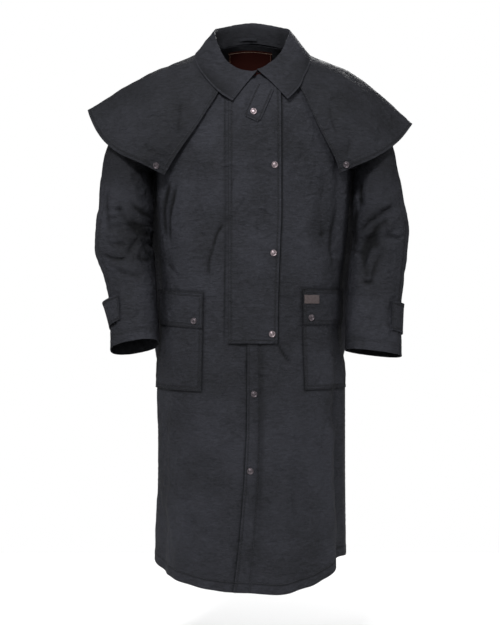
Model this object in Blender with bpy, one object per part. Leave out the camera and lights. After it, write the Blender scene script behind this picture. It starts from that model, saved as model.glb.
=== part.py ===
"""A long duster coat with a shoulder cape, filled out as it hangs from the shoulders.

Every piece is a wall of waxed cotton about 2 mm thick, worked out from tables of sizes in
millimetres. The origin is at the base of the neck, +Z is up and the coat faces -Y. Left and
right are the wearer's own, so the right sleeve lies on the -X side.
"""
import functools
import math

import bmesh
import bpy
import numpy as np
from mathutils import Matrix, Vector
from mathutils.bvhtree import BVHTree

MM = 0.001
CLOTH = 2.0
TRIM = 1.2
SEAM = 0.3
LENGTH = 1240.0
ARMHOLE_TOP = 66.0
ARMHOLE_BOTTOM = 300.0
ARMHOLE_FRONT_REACH = 22.0
ARMHOLE_BACK_REACH = 24.0
FRONT_LIFT = 3.0
UNDERLAP = 34.0
SNAP_RADIUS = 7.6
SNAP_HEIGHT = 2.8
SLEEVE_STRANDS = 20

# The trunk, a ring for each distance down the side seam: half widths to the wearer's right
# and left, depths to the front and back, heights at centre front and back, and squareness.
TRUNK_COLUMNS = ("down", "right", "left", "front", "back", "front_z", "back_z", "square")
TRUNK_RINGS = (
    (0, 82, 92, 104, 70, -90, 22, 2.00),
    (32, 150, 158, 122, 98, -122, -18, 2.05),
    (66, 212, 222, 138, 118, -160, -70, 2.20),
    (120, 224, 236, 145, 129, -190, -122, 2.32),
    (180, 228, 240, 148, 136, -225, -180, 2.40),
    (300, 230, 245, 152, 142, -305, -300, 2.50),
    (430, 224, 240, 152, 146, -430, -430, 2.50),
    (600, 216, 222, 156, 150, -600, -600, 2.45),
    (700, 216, 219, 158, 154, -700, -700, 2.45),
    (800, 223, 230, 162, 160, -800, -800, 2.40),
    (1000, 222, 230, 172, 168, -1000, -1000, 2.35),
    (1240, 227, 232, 190, 180, -1240, -1240, 2.30),
)

# The hem hangs lower in front than at the side seams.
HEM_COLUMNS = ("angle", "z")
HEM = (
    (-180, -1240), (-90, -1232), (-75, -1251), (-50, -1272), (-20, -1290), (0, -1292),
    (20, -1297), (40, -1284), (58, -1255), (66, -1236), (73, -1231), (90, -1237), (180, -1240),
)

# The hem turns from the side seams' length to the table above from this distance down.
HEM_START = 1040.0

# The right side is drawn up a little over the hip: how much, where, and how far round and down.
HIP_LIFT = 10.0
HIP_ANGLE = -85.0
HIP_HALF = 55.0
HIP_DOWN = 640.0
HIP_REACH = 330.0

# Soft vertical folds of the trunk: where each lies round the body, how far it goes in (-) or
# out (+), its half width in degrees, and the distances down over which it rises and fades.
FOLD_COLUMNS = ("angle", "depth", "half", "top", "full", "fade", "end")
TRUNK_FOLDS = (
    (68, -13, 9, 640, 900, 1240, 1500),
    (56, 7, 9, 800, 1000, 1240, 1500),
    (-66, -7, 8, 760, 980, 1240, 1500),
    (-80, 4, 9, 660, 900, 1240, 1500),
    (-48, 5, 9, 860, 1080, 1240, 1500),
    (9, -3.5, 10, 690, 800, 1060, 1200),
    (34, -6, 9, 860, 1080, 1240, 1500),
    (-24, -5, 9, 840, 1100, 1240, 1500),
    (-68, -6, 7, 150, 230, 420, 560),
    (66, -6, 7, 150, 230, 420, 560),
    (-40, -5, 8, 260, 330, 430, 520),
    (-106, 33, 16, 245, 335, 690, 850),
    (107, 37, 16, 272, 350, 670, 820),
    (112, -10, 10, 620, 880, 1240, 1500),
    (131, 11, 10, 640, 900, 1240, 1500),
    (151, -12, 10, 620, 900, 1240, 1500),
    (170, 9, 10, 660, 920, 1240, 1500),
    (189, -10, 10, 640, 900, 1240, 1500),
    (208, 10, 10, 620, 880, 1240, 1500),
    (228, -11, 10, 640, 900, 1240, 1500),
    (249, 9, 10, 660, 920, 1240, 1500),
    (122, -5, 9, 300, 400, 520, 640),
    (238, -5, 9, 300, 400, 520, 640),
)

# Rows of the trunk's panels, as distances down. The armhole's own rows are added by cosine.
YOKE_ROWS = (0, 14, 32, 48)
BODY_ROWS = (
    345, 400, 460, 525, 594, 602, 640, 676, 685, 750, 828, 832, 890, 950, 1010, 1070, 1130, 1185, 1240,
)

FRONT_LEFT_COLUMNS = (4, 10, 16, 24, 32, 41, 51, 61, 71, 80)
FRONT_RIGHT_COLUMNS = (10, 4, -3, -10, -18, -27, -37, -48, -59, -71, -82)
BACK_COLUMNS = 26

# The front edge of the wearer's left front, across the centre line.
LAP_COLUMNS = ("down", "x")
LAP_EDGE = ((0, -6), (760, -6), (900, -7), (1040, -13), (1130, -22), (1240, -38))

# The sleeves: the outer and inner edge of each ring seen from the front, where its centre lies
# (- is forward), half its depth, how much higher its front is, and how square it is.
SLEEVE_COLUMNS = ("outer_x", "outer_z", "inner_x", "inner_z", "y", "depth", "tilt", "square")
SLEEVE_RIGHT = (
    (262, -92, 239, -308, -2, 82, 0, 2.0),
    (310, -150, 237, -330, -5, 80, 0, 2.05),
    (345, -237, 235, -365, -13, 79, 0, 2.2),
    (362, -320, 233, -405, -20, 79, 0, 2.4),
    (370, -402, 231, -440, -25, 78, 3, 2.5),
    (376, -490, 236, -472, -28, 76, 8, 2.5),
    (366, -530, 232, -505, -33, 73, 12, 2.45),
    (350, -572, 228, -545, -42, 69, 14, 2.4),
    (338, -630, 224, -600, -56, 63, 16, 2.4),
    (333, -690, 219, -662, -70, 57, 17, 2.35),
    (333, -740, 216, -720, -82, 53, 17, 2.3),
)
SLEEVE_LEFT = (
    (270, -90, 252, -310, -2, 82, 0, 2.0),
    (318, -160, 251, -332, -5, 80, 0, 2.05),
    (349, -248, 250, -365, -13, 79, 0, 2.2),
    (357, -295, 248, -395, -20, 79, 0, 2.4),
    (374, -375, 246, -440, -25, 78, 0, 2.5),
    (385, -445, 246, -480, -28, 76, 3, 2.5),
    (381, -500, 241, -520, -33, 73, 5, 2.45),
    (372, -560, 236, -560, -42, 69, 7, 2.4),
    (364, -630, 232, -620, -56, 63, 8, 2.4),
    (362, -700, 228, -682, -70, 57, 8, 2.35),
    (361, -753, 227, -737, -82, 53, 8, 2.3),
)
SLEEVE_RINGS = (0, 0.45, 1, 1.6, 2.3, 3, 3.6, 4.2, 4.7, 5.15, 5.6, 6.05, 6.5, 7, 7.5, 8, 8.7, 9.4, 10.2, 11)

# Elbow folds: place along the sleeve in rings, place round it, depth, and both half widths.
CREASE_COLUMNS = ("along", "turn", "depth", "half_along", "half_turn")
CREASES_RIGHT = (
    (3.9, 60, -4, 0.45, 60),
    (4.8, 30, -5, 0.5, 70),
    (5.6, 100, -5, 0.45, 80),
    (6.5, 150, -6, 0.5, 70),
    (4.9, 170, -6, 0.5, 50),
    (3.4, 218, -10, 3.2, 52),
)
CREASES_LEFT = (
    (4.1, 140, -5, 0.5, 60),
    (5.1, 60, -6, 0.45, 80),
    (6.3, 110, -7, 0.5, 70),
    (5.6, 170, -5, 0.5, 50),
    (3.9, 218, -14, 2.4, 52),
)

# The cape, a section for each place round the neck: where it starts and ends round the body,
# how far down its hem is, how far out and ahead the hem stands, where it leaves the shoulders,
# and how far it stands off the yoke.
CAPE_COLUMNS = ("neck", "hem", "down", "out", "ahead", "leave", "lift")
CAPE_SECTIONS = (
    (-27, -62, 322, 6, 5, 190, 2),
    (-41, -69, 297, 46, 13, 100, 4),
    (-57, -77, 262, 92, 16, 74, 5),
    (-73, -84, 218, 132, 12, 60, 2),
    (-90, -91, 154, 165, 2, 52, 1.5),
    (-108, -102, 190, 147, 0, 58, 2),
    (-130, -120, 270, 77, 0, 95, 6),
    (-155, -148, 320, 30, 0, 150, 5),
    (-180, -180, 335, 14, 0, 150, 5),
    (-205, -212, 322, 30, 0, 150, 5),
    (-230, -240, 282, 77, 0, 95, 6),
    (-252, -258, 214, 140, 0, 58, 2.5),
    (-270, -269, 187, 151, 2, 50, 2),
    (-285, -277, 235, 112, 12, 60, 2.5),
    (-301, -285, 272, 72, 16, 80, 5),
    (-312, -291, 298, 40, 13, 110, 4),
    (-319, -296, 318, 6, 5, 190, 2),
)
CAPE_TOP = 8.0
CAPE_OUT = 3.4
CAPE_COLUMNS_COUNT = 41
CAPE_ROWS = (0, 0.045, 0.1, 0.17, 0.26, 0.38, 0.52, 0.68, 0.84, 1.0)

# The collar, a section for each place round the neck: seam and outer edge round the body, the
# edge's distance down and out, and how high the roll stands above the seam.
COLLAR_COLUMNS = ("neck", "edge", "down", "out", "roll")
COLLAR_SECTIONS = (
    (8, -16.5, 73, 11.5, 8),
    (-22, -34, 60, 12.5, 10),
    (-40, -46, 49, 14, 14),
    (-65, -70, 27, 11, 26),
    (-90, -90, 16, 7, 39),
    (-110, -110, 16, 10, 49),
    (-140, -140, 18, 10, 52),
    (-180, -180, 22, 10, 53),
    (-220, -220, 18, 10, 52),
    (-250, -250, 16, 10, 49),
    (-270, -270, 14, 7, 40),
    (-295, -292, 33, 12, 27),
    (-316, -313, 60, 14, 14),
    (-333, -319, 77, 14, 10),
    (-350.4, -327.5, 95, 14, 8),
)
COLLAR_COLUMNS_COUNT = 37
COLLAR_START = 3.0
ROLL_OUT = 13.0
ROLL_ROWS = 11

# A collar section's points on the stand, at its top and just over the roll: shares of the
# roll's height and of how far it leans out. The fall's middle then stands out and up a little.
STAND_RISE = 0.55
STAND_LEAN = 0.02
TOP_LEAN = 0.42
OVER_RISE = 0.82
FALL_OUT = 3.5
FALL_UP = 2.0

FLAP_HINGE = -50.0
FLAP_HINGE_OUT = 2.5
FLAP_OUT = 6.4
FLAP_SHARES = 8
FLAP_DROP = 34.0

# The storm flap's rows: height, and how far across its free edge reaches.
FLAP_COLUMNS = ("down", "edge")
FLAP_ROWS = (
    (102, 72), (114, 72), (128, 72), (146, 72), (168, 72), (195, 72), (235, 72), (285, 72),
    (340, 72), (410, 72), (480, 69.5), (550, 66.5), (610, 64.5), (665, 63.5), (720, 63),
)

# The throat tab, seen from the front: the middle of its free end and of its sewn end.
THROAT_END = (3.0, -199.0)
THROAT_TOP = (37.0, -124.0)
THROAT_WIDTH = 41.0
THROAT_OUT = 9.1

# The throat tab's rows: how far along it from its clipped end, and the share of its full width.
THROAT_ROWS = ((1.0, 1.0), (0.83, 1.0), (0.66, 1.0), (0.5, 1.0), (0.33, 1.0), (0.12, 0.97), (0.0, 0.74))

LABEL_SIDES = (-54.0, 55.0)
LABEL_ROWS = (9, 18, 30, 46, 62)
LABEL_IN = 1.15
LOOP_SIDES = (-27.0, 17.0)
LOOP_HEIGHTS = (10.5, 14.0, 17.5)
LOOP_BOW = 3.5

PATCH_ANGLES = (41.8, 52.0)
PATCH_DOWN = (607.0, 627.0)

POCKET_RIGHT = dict(columns=(-37, -48, -59, -71, -82), flap=(602, 640, 685), bag=(640, 685, 750, 832))
POCKET_LEFT = dict(columns=(41, 51, 61, 71, 80), flap=(594, 640, 676), bag=(640, 676, 750, 828))
POCKET_OUT = 0.4
POCKET_FLAP_OUT = 3.0

# Press studs as they show from the front, sideways and up.
FLAP_SNAPS = ((57, -305), (54, -510), (50.6, -698))
PLACKET_SNAPS = ((8.3, -837), (0.5, -1014))
THROAT_SNAP = (8.6, -182.5)

# Press studs by their place round the body and down it, on the cape's front corners by
# section and share of the way to the hem, and on the cuff tabs by turns from the back end.
POCKET_SNAP_RIGHT = (-43.0, 669.0)
POCKET_SNAP_LEFT = (46.5, 660.0)
CAPE_SNAP_SECTION = 0.45
CAPE_SNAP_SHARE = 0.965
CUFF_SNAP_TURNS = 14.0

# Cuff tabs: the turns round the sleeve, and the ends along it in rings.
TAB_OUT = 1.7
TAB_GAPE_RIGHT = 13.0
TAB_GAPE_LEFT = 3.0
TAB_RIGHT = dict(front=64, back=-64, top=8.95, bottom=9.95)
TAB_LEFT = dict(front=60, back=-64, top=9.0, bottom=10.0)


@functools.lru_cache(maxsize=None)
def curve_of(table, names, name, by_row):
    """A named column's knots, values and tangents, for a curve that never overshoots."""
    place = names.index(name)
    knots = np.array([i if by_row else row[0] for i, row in enumerate(table)], dtype=float)
    values = np.array([row[place] for row in table], dtype=float)
    steps = np.diff(knots)
    slopes = np.diff(values) / steps
    tangents = np.zeros_like(values)
    tangents[0] = slopes[0]
    tangents[-1] = slopes[-1]
    for i in range(1, len(values) - 1):
        if slopes[i - 1] * slopes[i] > 0:
            near = 2 * steps[i] + steps[i - 1]
            far = steps[i] + 2 * steps[i - 1]
            tangents[i] = (near + far) / (near / slopes[i - 1] + far / slopes[i])
    return knots, values, tangents


def read(table, names, name, at, by_row=False):
    """A named column read at any place: along the first column, or by row number."""
    knots, values, tangents = curve_of(table, names, name, by_row)
    at = np.clip(np.asarray(at, dtype=float), knots[0], knots[-1])
    span = np.clip(np.searchsorted(knots, at, side="right") - 1, 0, len(knots) - 2)
    step = knots[span + 1] - knots[span]
    t = (at - knots[span]) / step
    start = (1 + 2 * t) * (1 - t) ** 2 * values[span] + t * (1 - t) ** 2 * step * tangents[span]
    end = t * t * (3 - 2 * t) * values[span + 1] + t * t * (t - 1) * step * tangents[span + 1]
    return start + end


def ease(t):
    """0 to 1 with a soft start and end."""
    t = np.clip(t, 0.0, 1.0)
    return t * t * (3 - 2 * t)


def hump(t):
    """1 at the middle, falling softly to 0 at -1 and 1."""
    t = np.clip(t, -1.0, 1.0)
    return 0.5 * (1 + np.cos(math.pi * t))


def unit(vectors):
    length = np.linalg.norm(vectors, axis=-1, keepdims=True)
    return vectors / np.maximum(length, 1e-9)


def turned(angle):
    """The same angle between -180 and 180."""
    return (np.asarray(angle, dtype=float) + 180.0) % 360.0 - 180.0


def trunk_size(name, down):
    return read(TRUNK_RINGS, TRUNK_COLUMNS, name, down)


def trunk_folds(angle, down):
    """How far the folds push the cloth out at a place."""
    total = np.zeros(np.broadcast(angle, down).shape)
    for row in TRUNK_FOLDS:
        fold = dict(zip(FOLD_COLUMNS, row))
        grown = ease((down - fold["top"]) / (fold["full"] - fold["top"]))
        gone = ease((down - fold["fade"]) / (fold["end"] - fold["fade"]))
        rise = hump(turned(angle - fold["angle"]) / fold["half"])
        total = total + fold["depth"] * rise * grown * (1 - gone)
    return total


def trunk_form(angle, down):
    """A point of the trunk's inner face: angle 0 is centre front, 90 the wearer's left."""
    angle, down = np.broadcast_arrays(turned(angle), np.asarray(down, dtype=float))
    across = np.sin(np.radians(angle))
    ahead = np.cos(np.radians(angle))
    width = np.where(across < 0, trunk_size("right", down), trunk_size("left", down))
    depth = np.where(ahead > 0, trunk_size("front", down), trunk_size("back", down))
    square = trunk_size("square", down)
    reach = ((np.abs(across) / width) ** square + (np.abs(ahead) / depth) ** square) ** (-1 / square)
    reach = reach + trunk_folds(angle, down)
    end_z = np.where(ahead > 0, trunk_size("front_z", down), trunk_size("back_z", down))
    height = -down + (end_z + down) * ahead ** 2
    hem = read(HEM, HEM_COLUMNS, "z", angle)
    height = height + (hem + LENGTH) * ease((down - HEM_START) / (LENGTH - HEM_START))
    height = height + HIP_LIFT * hump((angle - HIP_ANGLE) / HIP_HALF) * hump((down - HIP_DOWN) / HIP_REACH)
    return np.stack([reach * across, -reach * ahead, height], axis=-1)


def trunk(angle, down, out=0.0):
    """A point a little way out from the trunk's inner face."""
    angle = np.asarray(angle, dtype=float)
    down = np.asarray(down, dtype=float)
    round_way = trunk_form(angle + 0.4, down) - trunk_form(angle - 0.4, down)
    down_way = trunk_form(angle, down + 0.5) - trunk_form(angle, np.maximum(down - 0.5, 0))
    normal = unit(np.cross(down_way, round_way))
    return trunk_form(angle, down) + normal * np.expand_dims(np.asarray(out, dtype=float), -1)


def angle_at(x, down):
    """The angle at which the front of a ring crosses a sideways distance."""
    angles = np.linspace(-75, 75, 301)
    return float(np.interp(x, trunk_form(angles, float(down))[:, 0], angles))


def front_place(x, z):
    """The angle and distance down of a point on the front, from where it shows."""
    down = -z
    for _ in range(14):
        angle = angle_at(x, down)
        down = max(down + 0.7 * (float(trunk_form(angle, down)[2]) - z), 0.0)
    return angle, down


def grid_normals(grid, closed=False):
    """Outward normals of rows of points that run round the piece, then down it."""
    if closed:
        round_way = np.roll(grid, -1, axis=1) - np.roll(grid, 1, axis=1)
    else:
        round_way = np.gradient(grid, axis=1)
    down_way = np.gradient(grid, axis=0)
    return unit(np.cross(down_way, round_way))


def cloth_material(name, colour, roughness):
    material = bpy.data.materials.new(name)
    material.use_nodes = True
    shader = material.node_tree.nodes["Principled BSDF"]
    shader.inputs["Base Color"].default_value = (*colour, 1.0)
    shader.inputs["Roughness"].default_value = roughness
    shader.inputs["Metallic"].default_value = 0.0
    return material


def add_object(name, mesh, material):
    mesh.materials.clear()
    mesh.materials.append(material)
    thing = bpy.data.objects.new(name, mesh)
    bpy.context.scene.collection.objects.link(thing)
    return thing


def wall(name, outer, inner, material, closed=False):
    """A cloth piece: two faces of points, joined round their edges into one closed body."""
    rows, columns = outer.shape[:2]
    shape = bmesh.new()
    faces = []
    for points in (outer, inner):
        faces.append([[shape.verts.new(Vector(p) * MM) for p in row] for row in points])
    last = columns if closed else columns - 1
    for r in range(rows - 1):
        for c in range(last):
            n = (c + 1) % columns
            for side in faces:
                shape.faces.new((side[r][c], side[r][n], side[r + 1][n], side[r + 1][c]))
    front, behind = faces
    for r in (0, rows - 1):
        for c in range(last):
            n = (c + 1) % columns
            shape.faces.new((front[r][c], front[r][n], behind[r][n], behind[r][c]))
    if not closed:
        for c in (0, columns - 1):
            for r in range(rows - 1):
                shape.faces.new((front[r][c], front[r + 1][c], behind[r + 1][c], behind[r][c]))
    bmesh.ops.recalc_face_normals(shape, faces=shape.faces)
    mesh = bpy.data.meshes.new(name)
    shape.to_mesh(mesh)
    shape.free()
    mesh.shade_smooth()
    mesh.set_sharp_from_angle(angle=math.radians(40))
    return add_object(name, mesh, material)


def armhole_turns():
    """Half the places round a sleeve, from its top to the armpit."""
    return np.linspace(0, 180, SLEEVE_STRANDS // 2 + 1)


def armhole_downs():
    middle = (ARMHOLE_TOP + ARMHOLE_BOTTOM) / 2
    half = (ARMHOLE_BOTTOM - ARMHOLE_TOP) / 2
    return middle - half * np.cos(np.radians(armhole_turns()))


def panel_rows():
    return np.concatenate([YOKE_ROWS, armhole_downs(), BODY_ROWS])


def armhole_reach(down, reach):
    """How far the armhole cuts in from the side seam at a distance down, in degrees."""
    middle = (ARMHOLE_TOP + ARMHOLE_BOTTOM) / 2
    half = (ARMHOLE_BOTTOM - ARMHOLE_TOP) / 2
    return reach * math.sqrt(max(0.0, 1 - ((down - middle) / half) ** 2))


def seam_turn(down):
    """Half a seam's gap at the side, in degrees."""
    return math.degrees(0.55 * SEAM / float(trunk_size("right", down)))


def front_lift(points):
    """The wearer's left front lies over the right one near the centre."""
    return FRONT_LIFT * (1 - ease((points[..., 0] - UNDERLAP - 6) / 60))


def front_angles(side, down):
    """Angles of a front panel's columns at a row, from its front edge to the side seam."""
    edge = 90 - armhole_reach(down, ARMHOLE_FRONT_REACH) - seam_turn(down)
    squeeze = edge / 90 if down < ARMHOLE_BOTTOM else 1.0
    start = read(LAP_EDGE, LAP_COLUMNS, "x", down) if side > 0 else UNDERLAP
    columns = FRONT_LEFT_COLUMNS if side > 0 else FRONT_RIGHT_COLUMNS
    return [angle_at(start, down)] + [angle * squeeze for angle in columns] + [side * edge]


def front_panel(name, side, material):
    rows = panel_rows()
    angles = np.array([front_angles(side, down) for down in rows])
    downs = np.broadcast_to(rows[:, None], angles.shape)
    lift = front_lift(trunk_form(angles, downs)) if side > 0 else 0.0
    inner = trunk(angles, downs, lift)
    outer = trunk(angles, downs, lift + CLOTH)
    return wall(name, outer, inner, material)


def back_panel(material):
    rows = panel_rows()
    angles = []
    for down in rows:
        edge = 90 + armhole_reach(down, ARMHOLE_BACK_REACH) + seam_turn(down)
        angles.append(np.linspace(edge, 360 - edge, BACK_COLUMNS))
    angles = np.array(angles)
    downs = np.broadcast_to(rows[:, None], angles.shape)
    return wall("back", trunk(angles, downs, CLOTH), trunk(angles, downs, 0.0), material)


def rounded(value, square):
    return np.sign(value) * np.abs(value) ** (2 / square)


def sleeve_controls(side, turn):
    """A strand's points at each ring of the sleeve, starting at the armhole."""
    table = SLEEVE_LEFT if side > 0 else SLEEVE_RIGHT
    turn = np.asarray(turn, dtype=float)
    across = np.cos(np.radians(turn))
    ahead = np.sin(np.radians(turn))
    middle = (ARMHOLE_TOP + ARMHOLE_BOTTOM) / 2
    half = (ARMHOLE_BOTTOM - ARMHOLE_TOP) / 2 - SEAM
    reach = np.where(ahead > 0, ARMHOLE_FRONT_REACH, -ARMHOLE_BACK_REACH) - np.sign(ahead) * 0.16
    angle = side * (90 - reach * np.abs(ahead))
    rings = [trunk(angle, middle - half * across, CLOTH + SEAM)]
    for outer_x, outer_z, inner_x, inner_z, y, depth, tilt, square in table:
        width = rounded(across, square)
        front = rounded(ahead, square)
        x = (outer_x + inner_x) / 2 + (outer_x - inner_x) / 2 * width
        z = (outer_z + inner_z) / 2 + (outer_z - inner_z) / 2 * width + tilt * front
        rings.append(np.stack([side * x, y - depth * front, z], axis=-1))
    return np.stack(rings)


def through_points(points, at):
    """A smooth curve through evenly numbered points, read at any place along them."""
    last = len(points) - 1
    span = min(int(at), last - 1)
    t = at - span
    before = points[max(span - 1, 0)]
    start = points[span]
    end = points[span + 1]
    after = points[min(span + 2, last)]
    square = 2 * before - 5 * start + 4 * end - after
    cube = 3 * start - before - 3 * end + after
    return start + 0.5 * ((end - before) * t + square * t * t + cube * t ** 3)


def sleeve_form(side, turn, along):
    """Points of the sleeve's outer face, for places round it and one place along it."""
    points = through_points(sleeve_controls(side, turn), along)
    middle = through_points(sleeve_controls(side, np.linspace(0, 315, 8)), along).mean(axis=0)
    push = np.zeros(np.shape(turn))
    for row in CREASES_LEFT if side > 0 else CREASES_RIGHT:
        crease = dict(zip(CREASE_COLUMNS, row))
        rise = hump((along - crease["along"]) / crease["half_along"])
        push = push + crease["depth"] * rise * hump(turned(turn - crease["turn"]) / crease["half_turn"])
    return points + unit(points - middle) * push[..., None]


def sleeve(name, side, material):
    turns = np.linspace(0, 360, SLEEVE_STRANDS, endpoint=False)
    outer = np.array([sleeve_form(side, turns, along) for along in SLEEVE_RINGS])
    normals = side * grid_normals(outer, closed=True)
    return wall(name, outer, outer + normals * CLOTH, material, closed=True)


def cape_form(place, t, out=0.0):
    """A point of the cape's inner face: place runs over its sections, t from neck to hem."""
    size = {n: read(CAPE_SECTIONS, CAPE_COLUMNS, n, place, by_row=True) for n in CAPE_COLUMNS}
    down = CAPE_TOP + (size["down"] - CAPE_TOP) * t
    angle = size["neck"] + (size["hem"] - size["neck"]) * t ** 1.5
    flare = np.clip((down - size["leave"]) / (size["down"] - size["leave"]), 0, 1)
    flare = flare ** 0.94
    off = CAPE_OUT + size["lift"] * ease((down - CAPE_TOP) / 45) + out
    away_x = np.sin(np.radians(angle)) * size["out"] * flare
    away_y = -np.cos(np.radians(angle)) * size["out"] * flare - size["ahead"] * t ** 2
    return trunk(angle, down, off) + np.stack([away_x, away_y, np.zeros(np.shape(away_x))], axis=-1)


def cape_grid():
    places = np.linspace(0, len(CAPE_SECTIONS) - 1, CAPE_COLUMNS_COUNT)
    places, t = np.meshgrid(places, np.array(CAPE_ROWS))
    return cape_form(places, t)


def cape(material):
    inner = cape_grid()
    return wall("cape", inner - grid_normals(inner) * CLOTH, inner, material)


def collar_section(place):
    """The collar's outer face at one place: seam, stand, roll, fall and edge."""
    size = {n: float(read(COLLAR_SECTIONS, COLLAR_COLUMNS, n, place, by_row=True)) for n in COLLAR_COLUMNS}
    up = np.array([0.0, 0.0, 1.0])
    lift = front_lift(trunk_form(size["neck"], 0.0)) if size["neck"] < -180 else 0.0
    seam = trunk(size["neck"], 0.0, lift) + up * COLLAR_START
    edge = trunk(size["edge"], size["down"], size["out"])
    away = unit(trunk(size["neck"], 0.0, CLOTH) * np.array([1, 1, 0]))
    roll = size["roll"]
    lean = ROLL_OUT * min(1.0, roll / 40 + 0.55)
    stand = seam + up * STAND_RISE * roll + away * STAND_LEAN * lean
    top = seam + up * roll + away * TOP_LEAN * lean
    over = seam + up * OVER_RISE * roll + away * lean
    fall = 0.5 * (over + edge) + away * FALL_OUT + up * FALL_UP
    return np.array([seam, stand, top, over, fall, edge])


def collar_grid():
    """Rows from the neck seam over the roll to the outer edge."""
    places = np.linspace(0, len(COLLAR_SECTIONS) - 1, COLLAR_COLUMNS_COUNT)
    sections = [collar_section(place) for place in places]
    alongs = np.linspace(0, 5, ROLL_ROWS)
    return np.array([[through_points(section, along) for section in sections] for along in alongs])


def collar(material):
    outer = collar_grid()
    return wall("collar", outer, outer + grid_normals(outer) * CLOTH, material)


def storm_flap(material):
    """A long flap sewn down the wearer's right front that closes over the left one."""
    share = np.linspace(0, 1, FLAP_SHARES)
    inner = []
    outer = []
    for down, edge in FLAP_ROWS:
        places = [front_place(FLAP_HINGE + (edge - FLAP_HINGE) * s, -down) for s in share]
        angles = np.array([place[0] for place in places])
        downs = np.array([place[1] for place in places])
        lift = FLAP_HINGE_OUT + (FLAP_OUT - FLAP_HINGE_OUT) * ease(share * (edge - FLAP_HINGE) / FLAP_DROP)
        inner.append(trunk(angles, downs, lift))
        outer.append(trunk(angles, downs, lift + CLOTH))
    return wall("storm_flap", np.array(outer), np.array(inner), material)


def throat_point(along, across, out):
    """A point of the throat tab: along from its free end, across from its middle line."""
    end = np.array(THROAT_END)
    way = np.array(THROAT_TOP) - end
    length = np.linalg.norm(way)
    way = way / length
    side = np.array([way[1], -way[0]])
    place = end + way * along * length + side * across
    angle, down = front_place(place[0], place[1])
    return trunk(angle, down, out)


def throat_tab(material):
    outer = []
    inner = []
    for along, width in THROAT_ROWS:
        line = np.linspace(-0.5, 0.5, 6) * THROAT_WIDTH * width
        outer.append([throat_point(along, across, THROAT_OUT + CLOTH) for across in line])
        inner.append([throat_point(along, across, THROAT_OUT) for across in line])
    return wall("throat_tab", np.array(outer), np.array(inner), material)


def on_front(name, side, angles, downs, out, thick, material):
    """A piece that lies on a front panel, made on the panel's own lines."""
    angles, downs = np.meshgrid(np.array(angles, dtype=float), np.array(downs, dtype=float))
    lift = front_lift(trunk_form(angles, downs)) if side > 0 else 0.0
    base = lift + CLOTH + out
    return wall(name, trunk(angles, downs, base + thick), trunk(angles, downs, base), material)


def sleeve_point(side, turn, along, out):
    """A point outside a sleeve, with its outward direction."""
    here = sleeve_form(side, np.array([turn]), along)[0]
    round_way = sleeve_form(side, np.array([turn + 2.0]), along)[0] - here
    down_way = sleeve_form(side, np.array([turn]), along + 0.05)[0] - here
    normal = -side * unit(np.cross(down_way, round_way))
    return here + normal * out, normal


def tab_out(side, turn, share):
    """A cuff tab lies close to the sleeve, and its upper edge stands off at the outer side."""
    return TAB_OUT + (TAB_GAPE_RIGHT if side < 0 else TAB_GAPE_LEFT) * hump((turn - 5) / 60) * (1 - share)


def cuff_tab(name, side, size, material):
    outer = []
    inner = []
    turns = np.linspace(size["front"], size["back"], 9)
    for share in np.linspace(0, 1, 4):
        along = size["top"] + (size["bottom"] - size["top"]) * share
        outer.append([sleeve_point(side, a, along, tab_out(side, a, share) + TRIM)[0] for a in turns])
        inner.append([sleeve_point(side, a, along, tab_out(side, a, share))[0] for a in turns])
    return wall(name, np.array(outer), np.array(inner), material)


def angle_behind(x, down):
    """The angle at which the back of a ring crosses a sideways distance."""
    angles = np.linspace(100, 260, 321)
    return float(np.interp(x, trunk_form(angles, float(down))[::-1, 0], angles[::-1]))


def neck_label(material):
    across = np.linspace(*LABEL_SIDES, 8)
    angles = np.array([[angle_behind(x, down) for x in across] for down in LABEL_ROWS])
    downs = np.broadcast_to(np.array(LABEL_ROWS)[:, None], angles.shape)
    return wall("neck_label", trunk(angles, downs, -LABEL_IN), trunk(angles, downs, -LABEL_IN - 1), material)


def hanger_loop(material):
    """A short strap on the inside of the collar stand, bowed away from it."""
    outer = []
    inner = []
    middle = sum(LOOP_SIDES) / 2
    half = LOOP_SIDES[1] - middle
    up = np.array([0, 0, 1.0])
    for x in np.linspace(*LOOP_SIDES, 9):
        seam = trunk(angle_behind(x, 0.0), 0.0, 0.0)
        inward = -unit(seam * np.array([1, 1, 0]))
        bow = 0.7 + LOOP_BOW * hump((x - middle) / (half + 4))
        outer.append([seam + up * height + inward * bow for height in LOOP_HEIGHTS])
        inner.append([seam + up * height + inward * (bow + TRIM) for height in LOOP_HEIGHTS])
    return wall("hanger_loop", np.array(outer), np.array(inner), material)


def snap_mesh():
    """A domed press-stud cap, turned about +Z and standing on its flat base."""
    profile = (
        (0.0, 0.0), (SNAP_RADIUS, 0.0), (SNAP_RADIUS, 0.45 * SNAP_HEIGHT),
        (0.78 * SNAP_RADIUS, 0.92 * SNAP_HEIGHT), (0.0, SNAP_HEIGHT),
    )
    shape = bmesh.new()
    line = [shape.verts.new((radius * MM, 0, height * MM)) for radius, height in profile]
    edges = [shape.edges.new(pair) for pair in zip(line, line[1:])]
    bmesh.ops.spin(
        shape, geom=line + edges, cent=(0, 0, 0), axis=(0, 0, 1), angle=math.tau, steps=14,
        use_merge=True, use_duplicate=False,
    )
    bmesh.ops.remove_doubles(shape, verts=shape.verts, dist=1e-6)
    bmesh.ops.recalc_face_normals(shape, faces=shape.faces)
    mesh = bpy.data.meshes.new("snap_cap")
    shape.to_mesh(mesh)
    shape.free()
    mesh.shade_smooth()
    mesh.set_sharp_from_angle(angle=math.radians(50))
    return mesh


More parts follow.
